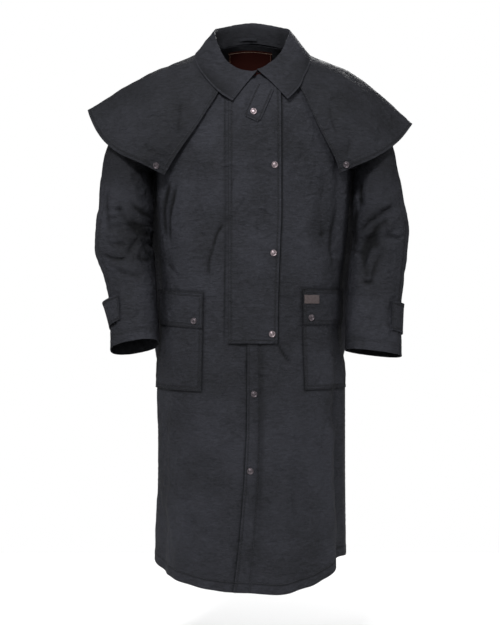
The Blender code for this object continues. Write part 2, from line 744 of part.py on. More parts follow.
def place_snap(name, mesh, carrier, point, facing, material):
    """Seat a cap on its cloth: just above the highest point under its rim."""
    polygons = [list(face.vertices) for face in carrier.data.polygons]
    cloth = BVHTree.FromPolygons([vertex.co for vertex in carrier.data.vertices], polygons)
    point = Vector(point) * MM
    facing = Vector(facing)
    turn = facing.to_track_quat("Z", "Y").to_matrix().to_4x4()
    highest = -1.0
    for radius in (0.0, 0.5 * SNAP_RADIUS, SNAP_RADIUS):
        for step in range(14):
            angle = math.tau * step / 14
            rim = point + turn @ Vector((math.cos(angle), math.sin(angle), 0)) * radius * MM
            hit = cloth.ray_cast(rim + facing * 20 * MM, -facing)[0]
            if hit is not None:
                highest = max(highest, (hit - point).dot(facing))
    snap = add_object(name, mesh.copy(), material)
    snap.matrix_world = Matrix.Translation(point + facing * (highest + SEAM * MM)) @ turn


def trunk_seat(angle, down):
    """A place on the trunk and the direction that it faces."""
    near = trunk(angle, down, CLOTH)
    return near, unit(trunk(angle, down, CLOTH + 1.0) - near)


def cape_seat(section):
    near = cape_form(np.array(section), np.array(CAPE_SNAP_SHARE))
    beside = cape_form(np.array(section + 0.05), np.array(CAPE_SNAP_SHARE)) - near
    below = cape_form(np.array(section), np.array(CAPE_SNAP_SHARE + 0.02)) - near
    return near, unit(np.cross(beside, below))


def cuff_seat(side, size):
    turn = size["back"] + CUFF_SNAP_TURNS
    return sleeve_point(side, turn, 0.5 * (size["top"] + size["bottom"]), tab_out(side, turn, 0.5))


def snaps(cloths, material):
    """The press studs, each on the piece that carries it."""
    last = len(CAPE_SECTIONS) - 1
    seats = [
        ("snap_throat", "throat_tab", trunk_seat(*front_place(*THROAT_SNAP))),
        ("snap_pocket_right", "pocket_flap_right", trunk_seat(*POCKET_SNAP_RIGHT)),
        ("snap_pocket_left", "pocket_flap_left", trunk_seat(*POCKET_SNAP_LEFT)),
        ("snap_cape_right", "cape", cape_seat(CAPE_SNAP_SECTION)),
        ("snap_cape_left", "cape", cape_seat(last - CAPE_SNAP_SECTION)),
        ("snap_cuff_right", "cuff_tab_right", cuff_seat(-1, TAB_RIGHT)),
        ("snap_cuff_left", "cuff_tab_left", cuff_seat(1, TAB_LEFT)),
    ]
    for number, place in enumerate(FLAP_SNAPS, 1):
        seats.append(("snap_flap_%d" % number, "storm_flap", trunk_seat(*front_place(*place))))
    for number, place in enumerate(PLACKET_SNAPS, 1):
        seats.append(("snap_placket_%d" % number, "front_left", trunk_seat(*front_place(*place))))
    mesh = snap_mesh()
    for name, carrier, (point, facing) in seats:
        if facing[1] > 0 and "cuff" not in name:
            facing = -facing
        place_snap(name, mesh, cloths[carrier], point, facing, material)


def build():
    for thing in list(bpy.data.objects):
        bpy.data.objects.remove(thing, do_unlink=True)
    waxed = cloth_material("waxed_cotton", (0.031, 0.033, 0.041), 0.52)
    waxed_cape = cloth_material("waxed_cotton_cape", (0.020, 0.021, 0.026), 0.55)
    metal = cloth_material("snap_metal", (0.22, 0.17, 0.18), 0.38)
    metal.node_tree.nodes["Principled BSDF"].inputs["Metallic"].default_value = 0.85
    label = cloth_material("woven_label", (0.020, 0.004, 0.003), 0.8)
    leather = cloth_material("patch_leather", (0.065, 0.052, 0.055), 0.6)

    cloths = [
        front_panel("front_right", -1, waxed),
        front_panel("front_left", 1, waxed),
        back_panel(waxed),
        sleeve("sleeve_right", -1, waxed),
        sleeve("sleeve_left", 1, waxed),
        cape(waxed_cape),
        collar(waxed),
        storm_flap(waxed),
        throat_tab(waxed),
        cuff_tab("cuff_tab_right", -1, TAB_RIGHT, waxed),
        cuff_tab("cuff_tab_left", 1, TAB_LEFT, waxed),
    ]
    for name, side, pocket in (("right", -1, POCKET_RIGHT), ("left", 1, POCKET_LEFT)):
        columns = pocket["columns"]
        cloths.append(on_front("pocket_" + name, side, columns, pocket["bag"], POCKET_OUT, CLOTH, waxed))
        flap = on_front("pocket_flap_" + name, side, columns, pocket["flap"], POCKET_FLAP_OUT, CLOTH, waxed)
        cloths.append(flap)
    patch_out = POCKET_FLAP_OUT + CLOTH + SEAM + 0.1
    on_front("leather_patch", 1, np.linspace(*PATCH_ANGLES, 4), PATCH_DOWN, patch_out, TRIM, leather)
    neck_label(label)
    hanger_loop(label)
    snaps({cloth.name: cloth for cloth in cloths}, metal)


build()
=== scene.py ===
"""A long black oilskin duster coat with a shoulder cape, as it looks in a soft white studio.

Sizes are in millimetres and become metres when a mesh is made. The origin is at the base of
the neck, +Z is up and the coat faces -Y. Left and right are the wearer's own.
"""
import functools
import math

import bmesh
import bpy
import numpy as np
from mathutils import Matrix, Vector, noise


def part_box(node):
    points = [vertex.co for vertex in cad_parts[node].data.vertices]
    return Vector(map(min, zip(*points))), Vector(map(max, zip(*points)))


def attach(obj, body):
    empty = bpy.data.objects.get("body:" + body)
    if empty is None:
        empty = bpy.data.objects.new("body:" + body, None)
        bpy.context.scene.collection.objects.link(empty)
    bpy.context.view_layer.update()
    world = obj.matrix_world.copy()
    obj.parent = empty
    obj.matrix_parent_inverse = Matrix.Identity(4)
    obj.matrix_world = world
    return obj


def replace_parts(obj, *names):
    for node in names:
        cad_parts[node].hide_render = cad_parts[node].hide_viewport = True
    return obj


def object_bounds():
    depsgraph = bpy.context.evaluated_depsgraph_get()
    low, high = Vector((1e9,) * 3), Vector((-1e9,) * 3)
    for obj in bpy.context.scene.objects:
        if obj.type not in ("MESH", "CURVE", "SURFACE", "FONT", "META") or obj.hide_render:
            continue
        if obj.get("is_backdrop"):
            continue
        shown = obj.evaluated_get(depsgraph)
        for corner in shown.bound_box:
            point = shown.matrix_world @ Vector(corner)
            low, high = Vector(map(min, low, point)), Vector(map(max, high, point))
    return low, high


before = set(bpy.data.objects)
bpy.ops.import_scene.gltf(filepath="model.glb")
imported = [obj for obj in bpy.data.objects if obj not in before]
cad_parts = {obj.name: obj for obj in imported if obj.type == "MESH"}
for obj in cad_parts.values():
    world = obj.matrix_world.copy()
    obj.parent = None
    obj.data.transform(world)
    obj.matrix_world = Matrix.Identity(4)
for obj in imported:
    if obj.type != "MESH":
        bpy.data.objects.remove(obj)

cad_low, cad_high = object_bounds()
scene = bpy.context.scene

# The camera: it stands 3 m in front of the coat, level with its middle, with a short telephoto
# lens, as for a catalogue picture. One pixel is about 2.4 mm on the coat's front.
MM = 0.001
CAMERA_AWAY = 3000.0
CAMERA_HEIGHT = -648.0
LENS = 70.53
camera_data = bpy.data.cameras.new("camera")
camera_data.lens = LENS
camera_data.sensor_width = 36.0
camera = bpy.data.objects.new("camera", camera_data)
camera.location = (0.0, -CAMERA_AWAY * MM, CAMERA_HEIGHT * MM)
camera.rotation_euler = (math.radians(90), 0.0, 0.0)
scene.collection.objects.link(camera)
scene.camera = camera
scene.view_settings.view_transform = "Standard"

# The studio: a plain pale painted floor well below the hem in a white room. A soft key lamp
# stands high beside the camera, a weak one at it, a tall one on each side, and a broad one behind.
FLOOR_BELOW = 190.0
FLOOR_HALF = 1250.0


def linear(code):
    """An sRGB hex colour as the linear values that a shader takes."""
    values = [int(code[i:i + 2], 16) / 255 for i in (1, 3, 5)]
    return tuple(v / 12.92 if v <= 0.04045 else ((v + 0.055) / 1.055) ** 2.4 for v in values) + (1.0,)


def add(tree, kind, settings=(), inputs=()):
    """Add a node: its settings are attributes, and an input takes a value or another node's output."""
    made = tree.nodes.new(kind)
    for name, value in dict(settings).items():
        setattr(made, name, value)
    for name, value in dict(inputs).items():
        if isinstance(value, bpy.types.NodeSocket):
            tree.links.new(value, made.inputs[name])
        else:
            made.inputs[name].default_value = value
    return made


def finish_of(name, sockets):
    """A new material and its tree, with the shader's plain values set."""
    material = bpy.data.materials.new(name)
    material.use_nodes = True
    shader = material.node_tree.nodes["Principled BSDF"]
    for socket, value in sockets.items():
        shader.inputs[socket].default_value = value
    return material, material.node_tree, shader


paint, _, _ = finish_of("matt_floor_paint", {"Base Color": linear("#fafafa"), "Roughness": 0.9})
floor_mesh = bpy.data.meshes.new("floor")
floor_z = cad_low.z - FLOOR_BELOW * MM
half = FLOOR_HALF * MM
corners = [(-half, -half, floor_z), (half, -half, floor_z), (half, half, floor_z), (-half, half, floor_z)]
floor_mesh.from_pydata(corners, [], [(0, 1, 2, 3)])
floor_mesh.materials.append(paint)
floor = bpy.data.objects.new("floor", floor_mesh)
scene.collection.objects.link(floor)
floor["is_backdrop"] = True

# The room shows white behind the coat and gives it only a little light of its own, so that the
# lamps draw its folds.
ROOM_LIGHT = 0.17
world = bpy.data.worlds.new("white_room")
world.use_nodes = True
tree = world.node_tree
seen = add(tree, "ShaderNodeBackground", {}, {"Color": linear("#ffffff"), "Strength": 1.0})
felt = add(tree, "ShaderNodeBackground", {}, {"Color": linear("#ffffff"), "Strength": ROOM_LIGHT})
path = add(tree, "ShaderNodeLightPath")
room = add(
    tree, "ShaderNodeMixShader", {},
    {0: path.outputs["Is Camera Ray"], 1: felt.outputs[0], 2: seen.outputs[0]},
)
tree.links.new(room.outputs[0], tree.nodes["World Output"].inputs["Surface"])
scene.world = world

# Each lamp's name, where it stands, the point it faces, its width and height, and its power.
LIGHTS = (
    ("key", (-600, -2200, 1450), (0, 0, -450), (800, 600), 64.0),
    ("fill", (200, -2800, 0), (0, 0, -450), (900, 900), 9.0),
    ("left_side", (2300, -900, 400), (0, 0, -600), (500, 1800), 15.0),
    ("right_side", (-2300, -900, 200), (0, 0, -600), (500, 1800), 11.0),
    ("behind", (500, 2500, 1200), (0, 300, -900), (1300, 1000), 110.0),
)
for name, place, target, size, watts in LIGHTS:
    light = bpy.data.lights.new(name, "AREA")
    light.shape = "RECTANGLE"
    light.size = size[0] * MM
    light.size_y = size[1] * MM
    light.energy = watts
    lamp = bpy.data.objects.new(name, light)
    lamp.location = Vector(place) * MM
    lamp.rotation_euler = (Vector(target) - Vector(place)).to_track_quat("-Z", "Y").to_euler()
    scene.collection.objects.link(lamp)

# The two fronts: black oilskin, which is a tight cotton weave filled with wax, cut in one length
# from neck to hem. The wearer's left front laps over the right one and carries the studs. Their
# edges, plackets, side seams and hems are turned in and stitched with dark polyester thread.
CLOTH = 2.0
SHELL = 1.2
SEAM = 0.3
LENGTH = 1240.0
ARMHOLE_TOP = 66.0
ARMHOLE_BOTTOM = 300.0
ARMHOLE_FRONT_REACH = 22.0
ARMHOLE_BACK_REACH = 24.0
FRONT_LIFT = 3.0
UNDERLAP = 34.0
CELL = 5.0
# From here down the rings sag into the hem's curve. The right hip lifts the cloth: how far, at
# which angle and distance down, each with half its reach.
HEM_START = 1040
HIP_LIFT = (10, -85, 55, 640, 330)

TRUNK_COLUMNS = ("down", "right", "left", "front", "back", "front_z", "back_z", "square")
TRUNK_RINGS = (
    (0, 82, 92, 104, 70, -90, 22, 2.00), (32, 150, 158, 122, 98, -122, -18, 2.05),
    (66, 212, 222, 138, 118, -160, -70, 2.20), (120, 224, 236, 145, 129, -190, -122, 2.32),
    (180, 228, 240, 148, 136, -225, -180, 2.40), (300, 230, 245, 152, 142, -305, -300, 2.50),
    (430, 224, 240, 152, 146, -430, -430, 2.50), (600, 216, 222, 156, 150, -600, -600, 2.45),
    (700, 216, 219, 158, 154, -700, -700, 2.45), (800, 223, 230, 162, 160, -800, -800, 2.40),
    (1000, 222, 230, 172, 168, -1000, -1000, 2.35), (1240, 227, 232, 190, 180, -1240, -1240, 2.30),
)
HEM_COLUMNS = ("angle", "z")
HEM = (
    (-180, -1240), (-90, -1232), (-75, -1251), (-50, -1272), (-20, -1290), (0, -1292), (20, -1297),
    (40, -1284), (58, -1255), (66, -1236), (73, -1231), (90, -1237), (180, -1240),
)
LAP_COLUMNS = ("down", "x")
LAP_EDGE = ((0, -6), (760, -6), (900, -7), (1040, -13), (1130, -22), (1240, -38))

# The hanging folds, the same as the solids have: the angle of each, how far it stands out or
# in, half its breadth in degrees, and how far down it starts, is full, fades and ends.
TRUNK_FOLDS = (
    (68, -13, 9, 640, 900, 1240, 1500), (56, 7, 9, 800, 1000, 1240, 1500),
    (-66, -7, 8, 760, 980, 1240, 1500), (-80, 4, 9, 660, 900, 1240, 1500),
    (-48, 5, 9, 860, 1080, 1240, 1500), (9, -3.5, 10, 690, 800, 1060, 1200),
    (34, -6, 9, 860, 1080, 1240, 1500), (-24, -5, 9, 840, 1100, 1240, 1500),
    (-68, -6, 7, 150, 230, 420, 560), (66, -6, 7, 150, 230, 420, 560), (-40, -5, 8, 260, 330, 430, 520),
    (-106, 33, 16, 245, 335, 690, 850), (107, 37, 16, 272, 350, 670, 820),
    (112, -10, 10, 620, 880, 1240, 1500), (131, 11, 10, 640, 900, 1240, 1500),
    (151, -12, 10, 620, 900, 1240, 1500), (170, 9, 10, 660, 920, 1240, 1500),
    (189, -10, 10, 640, 900, 1240, 1500), (208, 10, 10, 620, 880, 1240, 1500),
    (228, -11, 10, 640, 900, 1240, 1500), (249, 9, 10, 660, 920, 1240, 1500),
    (122, -5, 9, 300, 400, 520, 640), (238, -5, 9, 300, 400, 520, 640),
)

# Creases, as they lie seen from the front: where each runs from and to,
# sideways and up, how far it goes in (-) or out (+), and how broad it is to each side.
FRONT_CREASES = (
    (-61, -438, -86, -495, -4.5, 8), (-84, -490, -98, -566, -4.0, 8), (-48, -446, -76, -520, 2.6, 10),
    (-148, -345, -158, -480, 3.2, 13), (-172, -330, -186, -540, -4.0, 12),
    (-120, -290, -110, -430, -2.4, 15), (-198, -400, -170, -560, 2.6, 10),
    (-206, -516, -150, -575, -2.6, 8), (-112, -560, -62, -612, -1.8, 10),
    (-88, -330, -70, -420, 1.6, 12), (176, -320, 170, -490, -3.0, 12), (150, -370, 140, -530, 2.6, 14),
    (80, -540, 96, -604, -2.4, 8), (116, -478, 192, -452, -1.8, 9), (98, -592, 184, -566, 1.8, 9),
    (206, -390, 196, -566, -3.4, 11), (104, -300, 112, -400, -1.8, 13), (62, -712, 96, -768, -4.2, 7),
    (74, -708, 110, -762, 2.8, 8), (190, -860, 178, -1060, -3.0, 12),
    (180, -1050, 168, -1240, -2.2, 13), (208, -840, 204, -1210, 2.8, 9),
    (150, -880, 128, -1180, -2.6, 19), (98, -900, 112, -1190, 2.2, 20), (62, -990, 46, -1240, -2.0, 16),
    (42, -1004, 150, -1058, -1.8, 14), (58, -1108, 164, -1132, 1.6, 13),
    (-28, -900, -58, -1150, -2.2, 18), (-92, -840, -112, -1200, 2.4, 20),
    (-140, -880, -128, -1190, -2.8, 15), (-178, -850, -170, -1240, 2.8, 11),
    (-204, -800, -208, -1180, -2.6, 9), (-152, -1124, -66, -1182, -2.0, 13),
    (-70, -1190, 12, -1150, -1.5, 14), (-120, -790, -34, -846, -1.6, 12),
    (-70, -640, -62, -760, 1.6, 14), (-34, -930, -96, -980, 1.5, 12),
    (-190, -325, -201, -480, -4.0, 13), (-32, -322, -42, -364, -2.8, 5),
    (-140, -320, -146, -390, -2.6, 9), (-196, -560, -204, -640, -2.6, 9),
    (-100, -920, -160, -938, -2.0, 5), (-84, -1010, -150, -1002, -1.8, 5),
    (-120, -1080, -180, -1096, -2.0, 5), (60, -930, 120, -944, -2.0, 5), (86, -978, 138, -966, 1.8, 6),
    (70, -1160, 150, -1176, -1.8, 6), (-60, -770, -64, -830, -2.2, 5), (-22, -742, -26, -806, -2.0, 4),
    (12, -740, 8, -812, -2.2, 4), (-8, -736, -10, -790, 1.6, 4),
)

# The studs' places, where the cloth lies flat.
stud_places = [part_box(n)[0].lerp(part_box(n)[1], 0.5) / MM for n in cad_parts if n.startswith("snap_")]
STUD_CALM = 9
STUD_CALM_FADE = 20


@functools.lru_cache(maxsize=None)
def curve_of(table, names, name, by_row):
    """A named column's knots, values and tangents, for a curve that never overshoots."""
    place = names.index(name)
    knots = np.array([i if by_row else row[0] for i, row in enumerate(table)], dtype=float)
    values = np.array([row[place] for row in table], dtype=float)
    steps = np.diff(knots)
    slopes = np.diff(values) / steps
    tangents = np.zeros_like(values)
    tangents[0] = slopes[0]
    tangents[-1] = slopes[-1]
    for i in range(1, len(values) - 1):
        if slopes[i - 1] * slopes[i] > 0:
            near = 2 * steps[i] + steps[i - 1]
            far = steps[i] + 2 * steps[i - 1]
            tangents[i] = (near + far) / (near / slopes[i - 1] + far / slopes[i])
    return knots, values, tangents


def read(table, names, name, at, by_row=False):
    """A named column read at any place: along the first column, or by row number."""
    knots, values, tangents = curve_of(table, names, name, by_row)
    at = np.clip(np.asarray(at, dtype=float), knots[0], knots[-1])
    span = np.clip(np.searchsorted(knots, at, side="right") - 1, 0, len(knots) - 2)
    step = knots[span + 1] - knots[span]
    t = (at - knots[span]) / step
    start = (1 + 2 * t) * (1 - t) ** 2 * values[span] + t * (1 - t) ** 2 * step * tangents[span]
    end = t * t * (3 - 2 * t) * values[span + 1] + t * t * (t - 1) * step * tangents[span + 1]
    return start + end


def ease(t):
    """0 to 1 with a soft start and end."""
    t = np.clip(t, 0.0, 1.0)
    return t * t * (3 - 2 * t)


def hump(t):
    """1 at the middle, falling softly to 0 at -1 and 1."""
    t = np.clip(t, -1.0, 1.0)
    return 0.5 * (1 + np.cos(math.pi * t))


def unit(vectors):
    length = np.linalg.norm(vectors, axis=-1, keepdims=True)
    return vectors / np.maximum(length, 1e-9)


def turned(angle):
    """The same angle between -180 and 180."""
    return (np.asarray(angle, dtype=float) + 180.0) % 360.0 - 180.0


def trunk_size(name, down):
    return read(TRUNK_RINGS, TRUNK_COLUMNS, name, down)


def trunk_folds(angle, down):
    """How far the folds push the cloth out at a place."""
    total = np.zeros(np.broadcast(angle, down).shape)
    for at, depth, half, top, full, fade, end in TRUNK_FOLDS:
        rise = ease((down - top) / (full - top)) * (1 - ease((down - fade) / (end - fade)))
        total = total + depth * hump(turned(angle - at) / half) * rise
    return total


def trunk_form(angle, down):
    """A point of the trunk's inner face: angle 0 is centre front, 90 the wearer's left."""
    angle = turned(angle)
    down = np.asarray(down, dtype=float)
    across = np.sin(np.radians(angle))
    ahead = np.cos(np.radians(angle))
    width = np.where(across < 0, trunk_size("right", down), trunk_size("left", down))
    depth = np.where(ahead > 0, trunk_size("front", down), trunk_size("back", down))
    square = trunk_size("square", down)
    reach = ((np.abs(across) / width) ** square + (np.abs(ahead) / depth) ** square) ** (-1 / square)
    reach = reach + trunk_folds(angle, down)
    end_z = np.where(ahead > 0, trunk_size("front_z", down), trunk_size("back_z", down))
    height = -down + (end_z + down) * ahead ** 2
    hem = read(HEM, HEM_COLUMNS, "z", angle)
    height = height + (hem + LENGTH) * ease((down - HEM_START) / (LENGTH - HEM_START))
    lift, turn, half_turn, middle, half = HIP_LIFT
    height = height + lift * hump((angle - turn) / half_turn) * hump((down - middle) / half)
    return np.stack(np.broadcast_arrays(reach * across, -reach * ahead, height), axis=-1)


def trunk_face(angle, down):
    """A point of the trunk's inner face and the direction it faces there."""
    round_way = trunk_form(angle + 0.4, down) - trunk_form(angle - 0.4, down)
    down_way = trunk_form(angle, down + 0.5) - trunk_form(angle, np.maximum(down - 0.5, 0))
    return trunk_form(angle, down), unit(np.cross(down_way, round_way))


def angle_at(x, down):
    """The angle at which the front of a ring crosses a sideways distance."""
    angles = np.linspace(-75, 75, 301)
    return float(np.interp(x, trunk_form(angles, float(down))[:, 0], angles))


def front_lift(x):
    """The wearer's left front lies over the right one near the centre."""
    return FRONT_LIFT * (1 - ease((x - UNDERLAP - 6) / 60))


def armhole_reach(down, reach):
    """How far the armhole cuts in from the side seam at a distance down, in degrees."""
    middle = (ARMHOLE_TOP + ARMHOLE_BOTTOM) / 2
    half = (ARMHOLE_BOTTOM - ARMHOLE_TOP) / 2
    return reach * math.sqrt(max(0.0, 1 - ((down - middle) / half) ** 2))


def seam_turn(down):
    """Half a seam's gap at the side, in degrees: the felled edges all but touch."""
    return math.degrees(0.1 * SEAM / float(trunk_size("right", down)))


def lines(start, end, step=CELL, first=(), last=()):
    """Places from start to end: the given ones beside each end, and even ones between them."""
    first = (0.0, *first)
    last = (0.0, *last)
    low = start + first[-1]
    high = end - last[-1]
    middle = np.linspace(low, high, max(2, round((high - low) / step) + 1))
    return np.concatenate([[start + d for d in first[:-1]], middle, [end - d for d in last[-2::-1]]])


# How rounded a crease's bottom is, as a share of its half width, how steeply its sides rise, and
# its bend and the reach of its ends, as shares of its length.
CREASE_ROUND = 0.25
CREASE_STEEP = 1.8
CREASE_BEND = 0.06
CREASE_PAST = 0.15
CREASE_FADE = 0.4


def creases(points, table):
    """How far the listed creases push points in or out, seen from the front or behind."""
    push = np.zeros(points.shape[:-1])
    x = points[..., 0]
    z = points[..., 2]
    for from_x, from_z, to_x, to_z, depth, half in table:
        run = math.hypot(to_x - from_x, to_z - from_z)
        way_x = (to_x - from_x) / run
        way_z = (to_z - from_z) / run
        along = (x - from_x) * way_x + (z - from_z) * way_z
        bend = CREASE_BEND * run * hump(2 * along / run - 1)
        beside = (x - from_x) * way_z - (z - from_z) * way_x - bend
        past = CREASE_PAST * run
        fade = ease((along + past) / (CREASE_FADE * run)) * ease((run + past - along) / (CREASE_FADE * run))
        across = np.sqrt((beside / half) ** 2 + CREASE_ROUND ** 2) - CREASE_ROUND
        push = push + depth * fade * np.exp(-CREASE_STEEP * across)
    return push


def two_sided(points, ahead, front, behind):
    """Creases of a piece's front and back, by how far its points look ahead, from 0 to 1."""
    return creases(points, front) * ahead + creases(points, behind) * (1 - ahead)


def crumple(points, size, depth, seed):
    """Small sharp-edged dents, as waxed cloth keeps them, longer down the cloth than across it:
    size and depth in millimetres."""
    flat = points.reshape(-1, 3) / (size, size, 1.5 * size) + seed
    rough = np.array([noise.turbulence(p, 3, True) for p in flat.tolist()])
    return depth * (rough.reshape(points.shape[:-1]) - 0.55)


def calm(points):
    """0 at a stud and 1 away from it."""
    keep = np.ones(points.shape[:-1])
    for place in stud_places:
        away = np.linalg.norm(points - np.array(place), axis=-1)
        keep = np.minimum(keep, ease((away - STUD_CALM) / STUD_CALM_FADE))
    return keep


def ridge(distance, half):
    """1 on a line, falling away to nothing beside it."""
    return np.exp(-(distance / half) ** 2)


# A turned edge stands up this much, is drawn in this much by its stitches, and puckers this much.
EDGE_RISE = 0.55
EDGE_DRAWN = 0.6
EDGE_PUCKER = 0.22


def sewn(distance, along, line, seed=0.0):
    """A turned edge stitched down: thicker up to the line, drawn in at it, puckered beside it."""
    ripple = np.sin(along / 4.1 + seed) + 0.7 * np.sin(along / 2.3 + 1.7 * seed + 2.0)
    away = distance - line
    relief = EDGE_RISE * (1 - ease((away + 0.6) / 2.4)) - EDGE_DRAWN * ridge(away, 1.5)
    return relief + EDGE_PUCKER * ripple * ridge(away, 7.0)


def stitched(relief, *edges):
    """The relief with turned edges stitched down, each given as sewn takes it."""
    return sum((sewn(*edge) for edge in edges), relief)


def grid_normals(grid, closed=False):
    """Normals of rows of points that run round the piece, then down it."""
    if closed:
        round_way = np.roll(grid, -1, axis=1) - np.roll(grid, 1, axis=1)
    else:
        round_way = np.gradient(grid, axis=1)
    return unit(np.cross(np.gradient(grid, axis=0), round_way))


# Painted shade: creases less deep than this, in millimetres, keep their colour, and are painted
# darkest this much deeper. A row of stitches is painted this dark for the shade in its dip, and
# half this broad, and the coat's inside is painted this dark for the shade within it.
SHALLOW = 1.7
DARKEST = 2.6
SEAM_PAINTED_SHADE = 0.75
SEAM_HALF = 1.6
INSIDE_PAINTED_SHADE = 0.75


def sunk(creased, *seams):
    """How much painted shade a place gets: by the depth of its creases in millimetres, and along
    seam lines, each given as a distance from the line."""
    deep = ease((-creased - SHALLOW) / DARKEST)
    for away in seams:
        deep = np.maximum(deep, SEAM_PAINTED_SHADE * ridge(away, SEAM_HALF))
    return deep


def oilskin(name, colour, worn, roughness):
    """Black oilskin: satin where the wax lies full, paler and duller along the small crinkles
    where it has cracked, and uneven from hand to hand. Crinkles are 8 to 30 mm apart, and the
    weave, 0.4 mm in the real cloth, is drawn 1.3 mm apart so that it shows."""
    material, tree, shader = finish_of(name, {"IOR": 1.47, "Specular IOR Level": 0.26})
    place = add(tree, "ShaderNodeTexCoord").outputs["Object"]
    flattened = add(tree, "ShaderNodeVectorMath", {"operation": "MULTIPLY"}, {0: place, 1: (1.0, 1.0, 3.0)})
    ridged = {"noise_type": "RIDGED_MULTIFRACTAL", "normalize": True}
    noises = {}
    for pattern, settings, inputs in (
        ("broad", {}, {"Scale": 9.0, "Detail": 3.0}),
        ("crinkle", ridged, {"Scale": 34.0, "Detail": 5.0, "Roughness": 0.55, "Distortion": 0.6}),
        ("fine", {}, {"Scale": 260.0, "Detail": 4.0, "Roughness": 0.7}),
        ("streaks", {}, {"Scale": 75.0, "Detail": 5.0, "Roughness": 0.65, "Distortion": 0.8}),
        ("weave", {}, {"Scale": 780.0, "Detail": 2.0}),
    ):
        inputs["Vector"] = flattened.outputs[0] if pattern == "streaks" else place
        noises[pattern] = add(tree, "ShaderNodeTexNoise", settings, inputs).outputs["Fac"]
    # How much each pattern wears the cloth: where it starts, where it is full, and its share.
    share = None
    for pattern, kind, low, high, most in (
        ("crinkle", "SMOOTHSTEP", 0.45, 0.95, 0.35), ("broad", "LINEAR", 0.36, 0.64, 0.4),
        ("streaks", "LINEAR", 0.38, 0.66, 0.45), ("fine", "LINEAR", 0.35, 0.7, 0.3),
    ):
        part = add(
            tree, "ShaderNodeMapRange", {"interpolation_type": kind},
            {"Value": noises[pattern], "From Min": low, "From Max": high, "To Min": 0.0, "To Max": most},
        ).outputs["Result"]
        if share is not None:
            adding = {"operation": "ADD", "use_clamp": True}
            part = add(tree, "ShaderNodeMath", adding, {0: share, 1: part}).outputs[0]
        share = part
    tone = add(
        tree, "ShaderNodeMix", {"data_type": "RGBA"},
        {"Factor": share, "A": linear(colour), "B": linear(worn)},
    )
    # Painted shade: deep in a crease or a seam, beside other pieces and inside the coat, the colour
    # is painted nearly black.
    painted_shade = add(tree, "ShaderNodeAttribute", {"attribute_name": "painted_shade"})
    shade = add(tree, "ShaderNodeMath", {"operation": "MULTIPLY"}, {0: painted_shade.outputs["Fac"], 1: 0.97})
    deep = add(
        tree, "ShaderNodeMix", {"data_type": "RGBA"},
        {"Factor": shade.outputs[0], "A": tone.outputs["Result"], "B": linear("#040508")},
    )
    tree.links.new(deep.outputs["Result"], shader.inputs["Base Color"])
    dull = add(
        tree, "ShaderNodeMapRange", {},
        {"Value": share, "To Min": roughness - 0.05, "To Max": roughness + 0.14},
    )
    tree.links.new(dull.outputs["Result"], shader.inputs["Roughness"])
    # The bumps, each on the one before: its strength and its height in metres.
    below = {}
    for pattern, strength, height in (
        ("crinkle", 0.85, 0.006), ("fine", 0.6, 0.0011), ("streaks", 0.8, 0.004), ("weave", 0.35, 0.0002),
    ):
        bump = add(
            tree, "ShaderNodeBump", {},
            {"Height": noises[pattern], "Strength": strength, "Distance": height, **below},
        )
        below = {"Normal": bump.outputs[0]}
    tree.links.new(bump.outputs[0], shader.inputs["Normal"])
    return material


black_oilskin = oilskin("black_oilskin", "#15161a", "#36373e", 0.72)


def new_piece(name, mesh, material):
    """Link a mesh as a piece of the coat."""
    mesh.materials.clear()
    mesh.materials.append(material)
    thing = bpy.data.objects.new(name, mesh)
    scene.collection.objects.link(thing)
    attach(thing, "root")
    return thing


def shell(name, outer, inner, material, closed=False, painted_shade=0.0):
    """Two faces of cloth joined round their edges, with every face pointing out of the cloth.
    Painted shade is how much shade is painted on each point of the outer face, from 0 to 1, in a
    crease, at a seam or beside another piece; the inner face is painted with the inside's shade."""
    rows, columns = outer.shape[:2]
    index = np.arange(rows * columns).reshape(rows, columns)
    if closed:
        index = np.concatenate([index, index[:, :1]], axis=1)
    a, b = index[:-1, :-1].ravel(), index[:-1, 1:].ravel()
    c, d = index[1:, 1:].ravel(), index[1:, :-1].ravel()
    behind = rows * columns
    faces = [np.stack([a, b, c, d], 1), np.stack([d, c, b, a], 1) + behind]
    edges = [index[0, ::-1], index[-1, :]]
    if not closed:
        edges += [index[:, 0], index[::-1, -1]]
    for edge in edges:
        faces.append(np.stack([edge[:-1], edge[:-1] + behind, edge[1:] + behind, edge[1:]], 1)[:, ::-1])
    faces = np.concatenate(faces)
    points = np.concatenate([outer.reshape(-1, 3), inner.reshape(-1, 3)])
    quad = faces[len(a) // 2]
    spread = np.cross(points[quad[2]] - points[quad[0]], points[quad[3]] - points[quad[1]])
    if np.dot(spread, points[quad[0]] - points[quad[0] + behind]) < 0:
        faces = faces[:, ::-1]
    mesh = bpy.data.meshes.new(name)
    mesh.from_pydata((points * MM).tolist(), [], faces.tolist())
    deep = np.clip(np.broadcast_to(painted_shade, outer.shape[:2]), 0.0, 1.0).ravel()
    deep = np.concatenate([deep, np.full(len(deep), INSIDE_PAINTED_SHADE)])
    mesh.attributes.new("painted_shade", "FLOAT", "POINT").data.foreach_set("value", deep)
    mesh.shade_smooth()
    mesh.set_sharp_from_angle(angle=math.radians(50))
    return new_piece(name, mesh, material)


# Dark polyester sewing thread: round, smooth and a little glossy, paler than the cloth.
thread, _, _ = finish_of("polyester_thread", {"Base Color": linear("#1e1f23"), "Roughness": 0.5, "IOR": 1.54})


